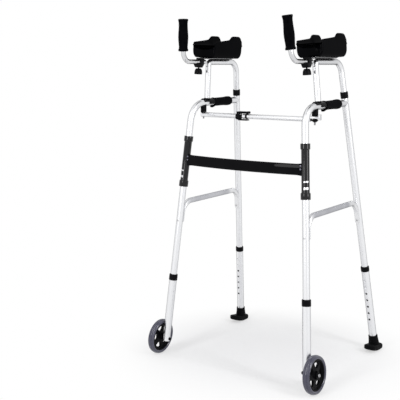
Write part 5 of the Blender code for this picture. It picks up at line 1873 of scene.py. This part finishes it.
@dataclass
class Studio:
    """Plain pale floor, soft lights and the camera."""

    camera_at: tuple[float, float, float] = (1.4775, -2.49995, 1.0454)
    azimuth: float = 37.161
    pitch: float = 7.758
    roll: float = 0.0396
    lens: float = 73.424
    sensor: float = 36.0
    shift: tuple[float, float] = (0.054413, -0.059132)
    spread: float = 43.0
    box_size: tuple[float, float] = (0.55, 2.0)
    box_distance: float = 2.4
    box_elevation: float = 24.0
    box_radiance: float = 7.0
    box_aim_z: float = 0.60
    world_light: float = 0.65
    white: tuple[float, float, float, float] = (1.0, 1.0, 1.0, 1.0)
    floor_half: float = 14.0
    floor_colour: tuple[float, float, float, float] = (0.87, 0.87, 0.88, 1.0)
    floor_roughness: float = 0.75
    floor_specular: float = 0.1
    # The white glow starts close to the walker and is partly on at the wheels. This is painted light that
    # lightens the shadow there.
    floor_plain: float = 0.12
    floor_white: float = 0.62

    def build(self) -> None:
        """Sets the floor, the world, the lamps and the camera."""
        self._floor()
        self._world()
        self._softbox("left_softbox", self.azimuth + self.spread)
        self._softbox("right_softbox", self.azimuth - self.spread)
        self._camera()
        bpy.context.scene.view_settings.view_transform = "Standard"

    def _floor(self) -> None:
        """A large pale floor that shows the walker's shadow and turns plain white with distance. Its white
        glow starts inside the walker's footprint, where it lightens the shadow as painted light.
        """
        mesh = bpy.data.meshes.new("floor")
        size = self.floor_half
        mesh.from_pydata([(-size, -size, 0.0), (size, -size, 0.0), (size, size, 0.0), (-size, size, 0.0)], [],
                         [(0, 1, 2, 3)])
        floor = linked("floor", mesh)
        mat = bpy.data.materials.new("pale_floor")
        mat.use_nodes = True
        tree = mat.node_tree
        shader = tree.nodes["Principled BSDF"]
        shader.inputs["Base Color"].default_value = self.floor_colour
        shader.inputs["Roughness"].default_value = self.floor_roughness
        shader.inputs["Specular IOR Level"].default_value = self.floor_specular
        white = add_node(tree, "Emission", {"Color": self.white, "Strength": 1.0})
        place = add_node(tree, "TexCoord")
        distance = add_node(tree, "VectorMath", operation="LENGTH")
        fade = add_node(tree, "MapRange", {"From Min": self.floor_plain, "From Max": self.floor_white},
                        interpolation_type="SMOOTHSTEP")
        share = add_node(tree, "Math", operation="MULTIPLY")
        mix = add_node(tree, "MixShader")
        wire(tree, (place, "Object", distance, 0), (distance, "Value", fade, "Value"),
             (fade, "Result", share, 0), (self._seen(tree), "Value", share, 1), (share, "Value", mix, "Fac"),
             (shader, "BSDF", mix, 1), (white, "Emission", mix, 2),
             (mix, "Shader", tree.nodes["Material Output"], "Surface"))
        mat.cycles.emission_sampling = "NONE"
        mesh.materials.append(mat)

    @staticmethod
    def _seen(tree: bpy.types.NodeTree) -> bpy.types.Node:
        """Gives 1 to rays that the camera sees, also in reflections, and 0 to light that falls on things.

        Args:
            tree: The nodes of a material or of the world.

        Returns:
            The node whose value is that number.
        """
        light = add_node(tree, "LightPath")
        bounced = add_node(tree, "Math", operation="MAXIMUM")
        seen = add_node(tree, "Math", operation="MAXIMUM")
        wire(tree, (light, "Is Glossy Ray", bounced, 0), (light, "Is Transmission Ray", bounced, 1),
             (light, "Is Camera Ray", seen, 0), (bounced, "Value", seen, 1))
        return seen

    def _world(self) -> None:
        """Soft surrounding light; the camera and reflections see plain white."""
        world = bpy.data.worlds.new("studio")
        bpy.context.scene.world = world
        world.use_nodes = True
        world.cycles.sampling_method = "NONE"
        tree = world.node_tree
        background = tree.nodes["Background"]
        background.inputs["Color"].default_value = self.white
        strength = add_node(tree, "MapRange", {"To Min": self.world_light, "To Max": 1.0})
        wire(tree, (self._seen(tree), "Value", strength, "Value"),
             (strength, "Result", background, "Strength"))

    def _softbox(self, name: str, azimuth: float) -> None:
        """One tall softbox that looks at the walker's middle.

        Args:
            name: Name of the lamp.
            azimuth: Its direction round the walker in degrees, from the front towards the user's left.
        """
        way = self._way(azimuth, self.box_elevation)
        wide, tall = self.box_size
        data = bpy.data.lights.new(name, "AREA")
        data.shape = "RECTANGLE"
        data.size = wide
        data.size_y = tall
        data.energy = self.box_radiance * math.pi * wide * tall
        lamp = linked(name, data)
        lamp.location = Z_AXIS * self.box_aim_z + way * self.box_distance
        lamp.rotation_euler = way.to_track_quat("Z", "Y").to_euler()

    @staticmethod
    def _way(azimuth: float, elevation: float) -> Vector:
        """Direction from the walker to a place round it.

        Args:
            azimuth: Degrees from the front towards the user's left.
            elevation: Degrees above the floor.

        Returns:
            The direction.
        """
        turn = math.radians(azimuth)
        rise = math.radians(elevation)
        return Vector((math.sin(turn) * math.cos(rise), -math.cos(turn) * math.cos(rise), math.sin(rise)))

    def _camera(self) -> None:
        """The camera at the photograph's viewing angle."""
        back = self._way(self.azimuth, self.pitch)
        right = Z_AXIS.cross(back).normalized()
        data = bpy.data.cameras.new("camera")
        data.sensor_width = self.sensor
        data.lens = self.lens
        data.shift_x, data.shift_y = self.shift
        camera = linked("camera", data)
        place = Matrix((right, back.cross(right), back)).transposed().to_4x4()
        roll = Matrix.Rotation(math.radians(self.roll), 4, "Z")
        camera.matrix_world = Matrix.Translation(self.camera_at) @ place @ roll
        bpy.context.scene.camera = camera


def main() -> None:
    """Loads the frame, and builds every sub-assembly and the studio."""
    logging.basicConfig(level=logging.INFO, format="%(message)s")
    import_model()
    for part in (FrontBar(), SideFrame(), Legs(), Wheel(), ForearmSupport(), Strut()):
        LOG.info("building %s", type(part).__name__)
        part.build()
    Studio().build()
    bpy.context.view_layer.update()


if __name__ == "__main__":
    main()
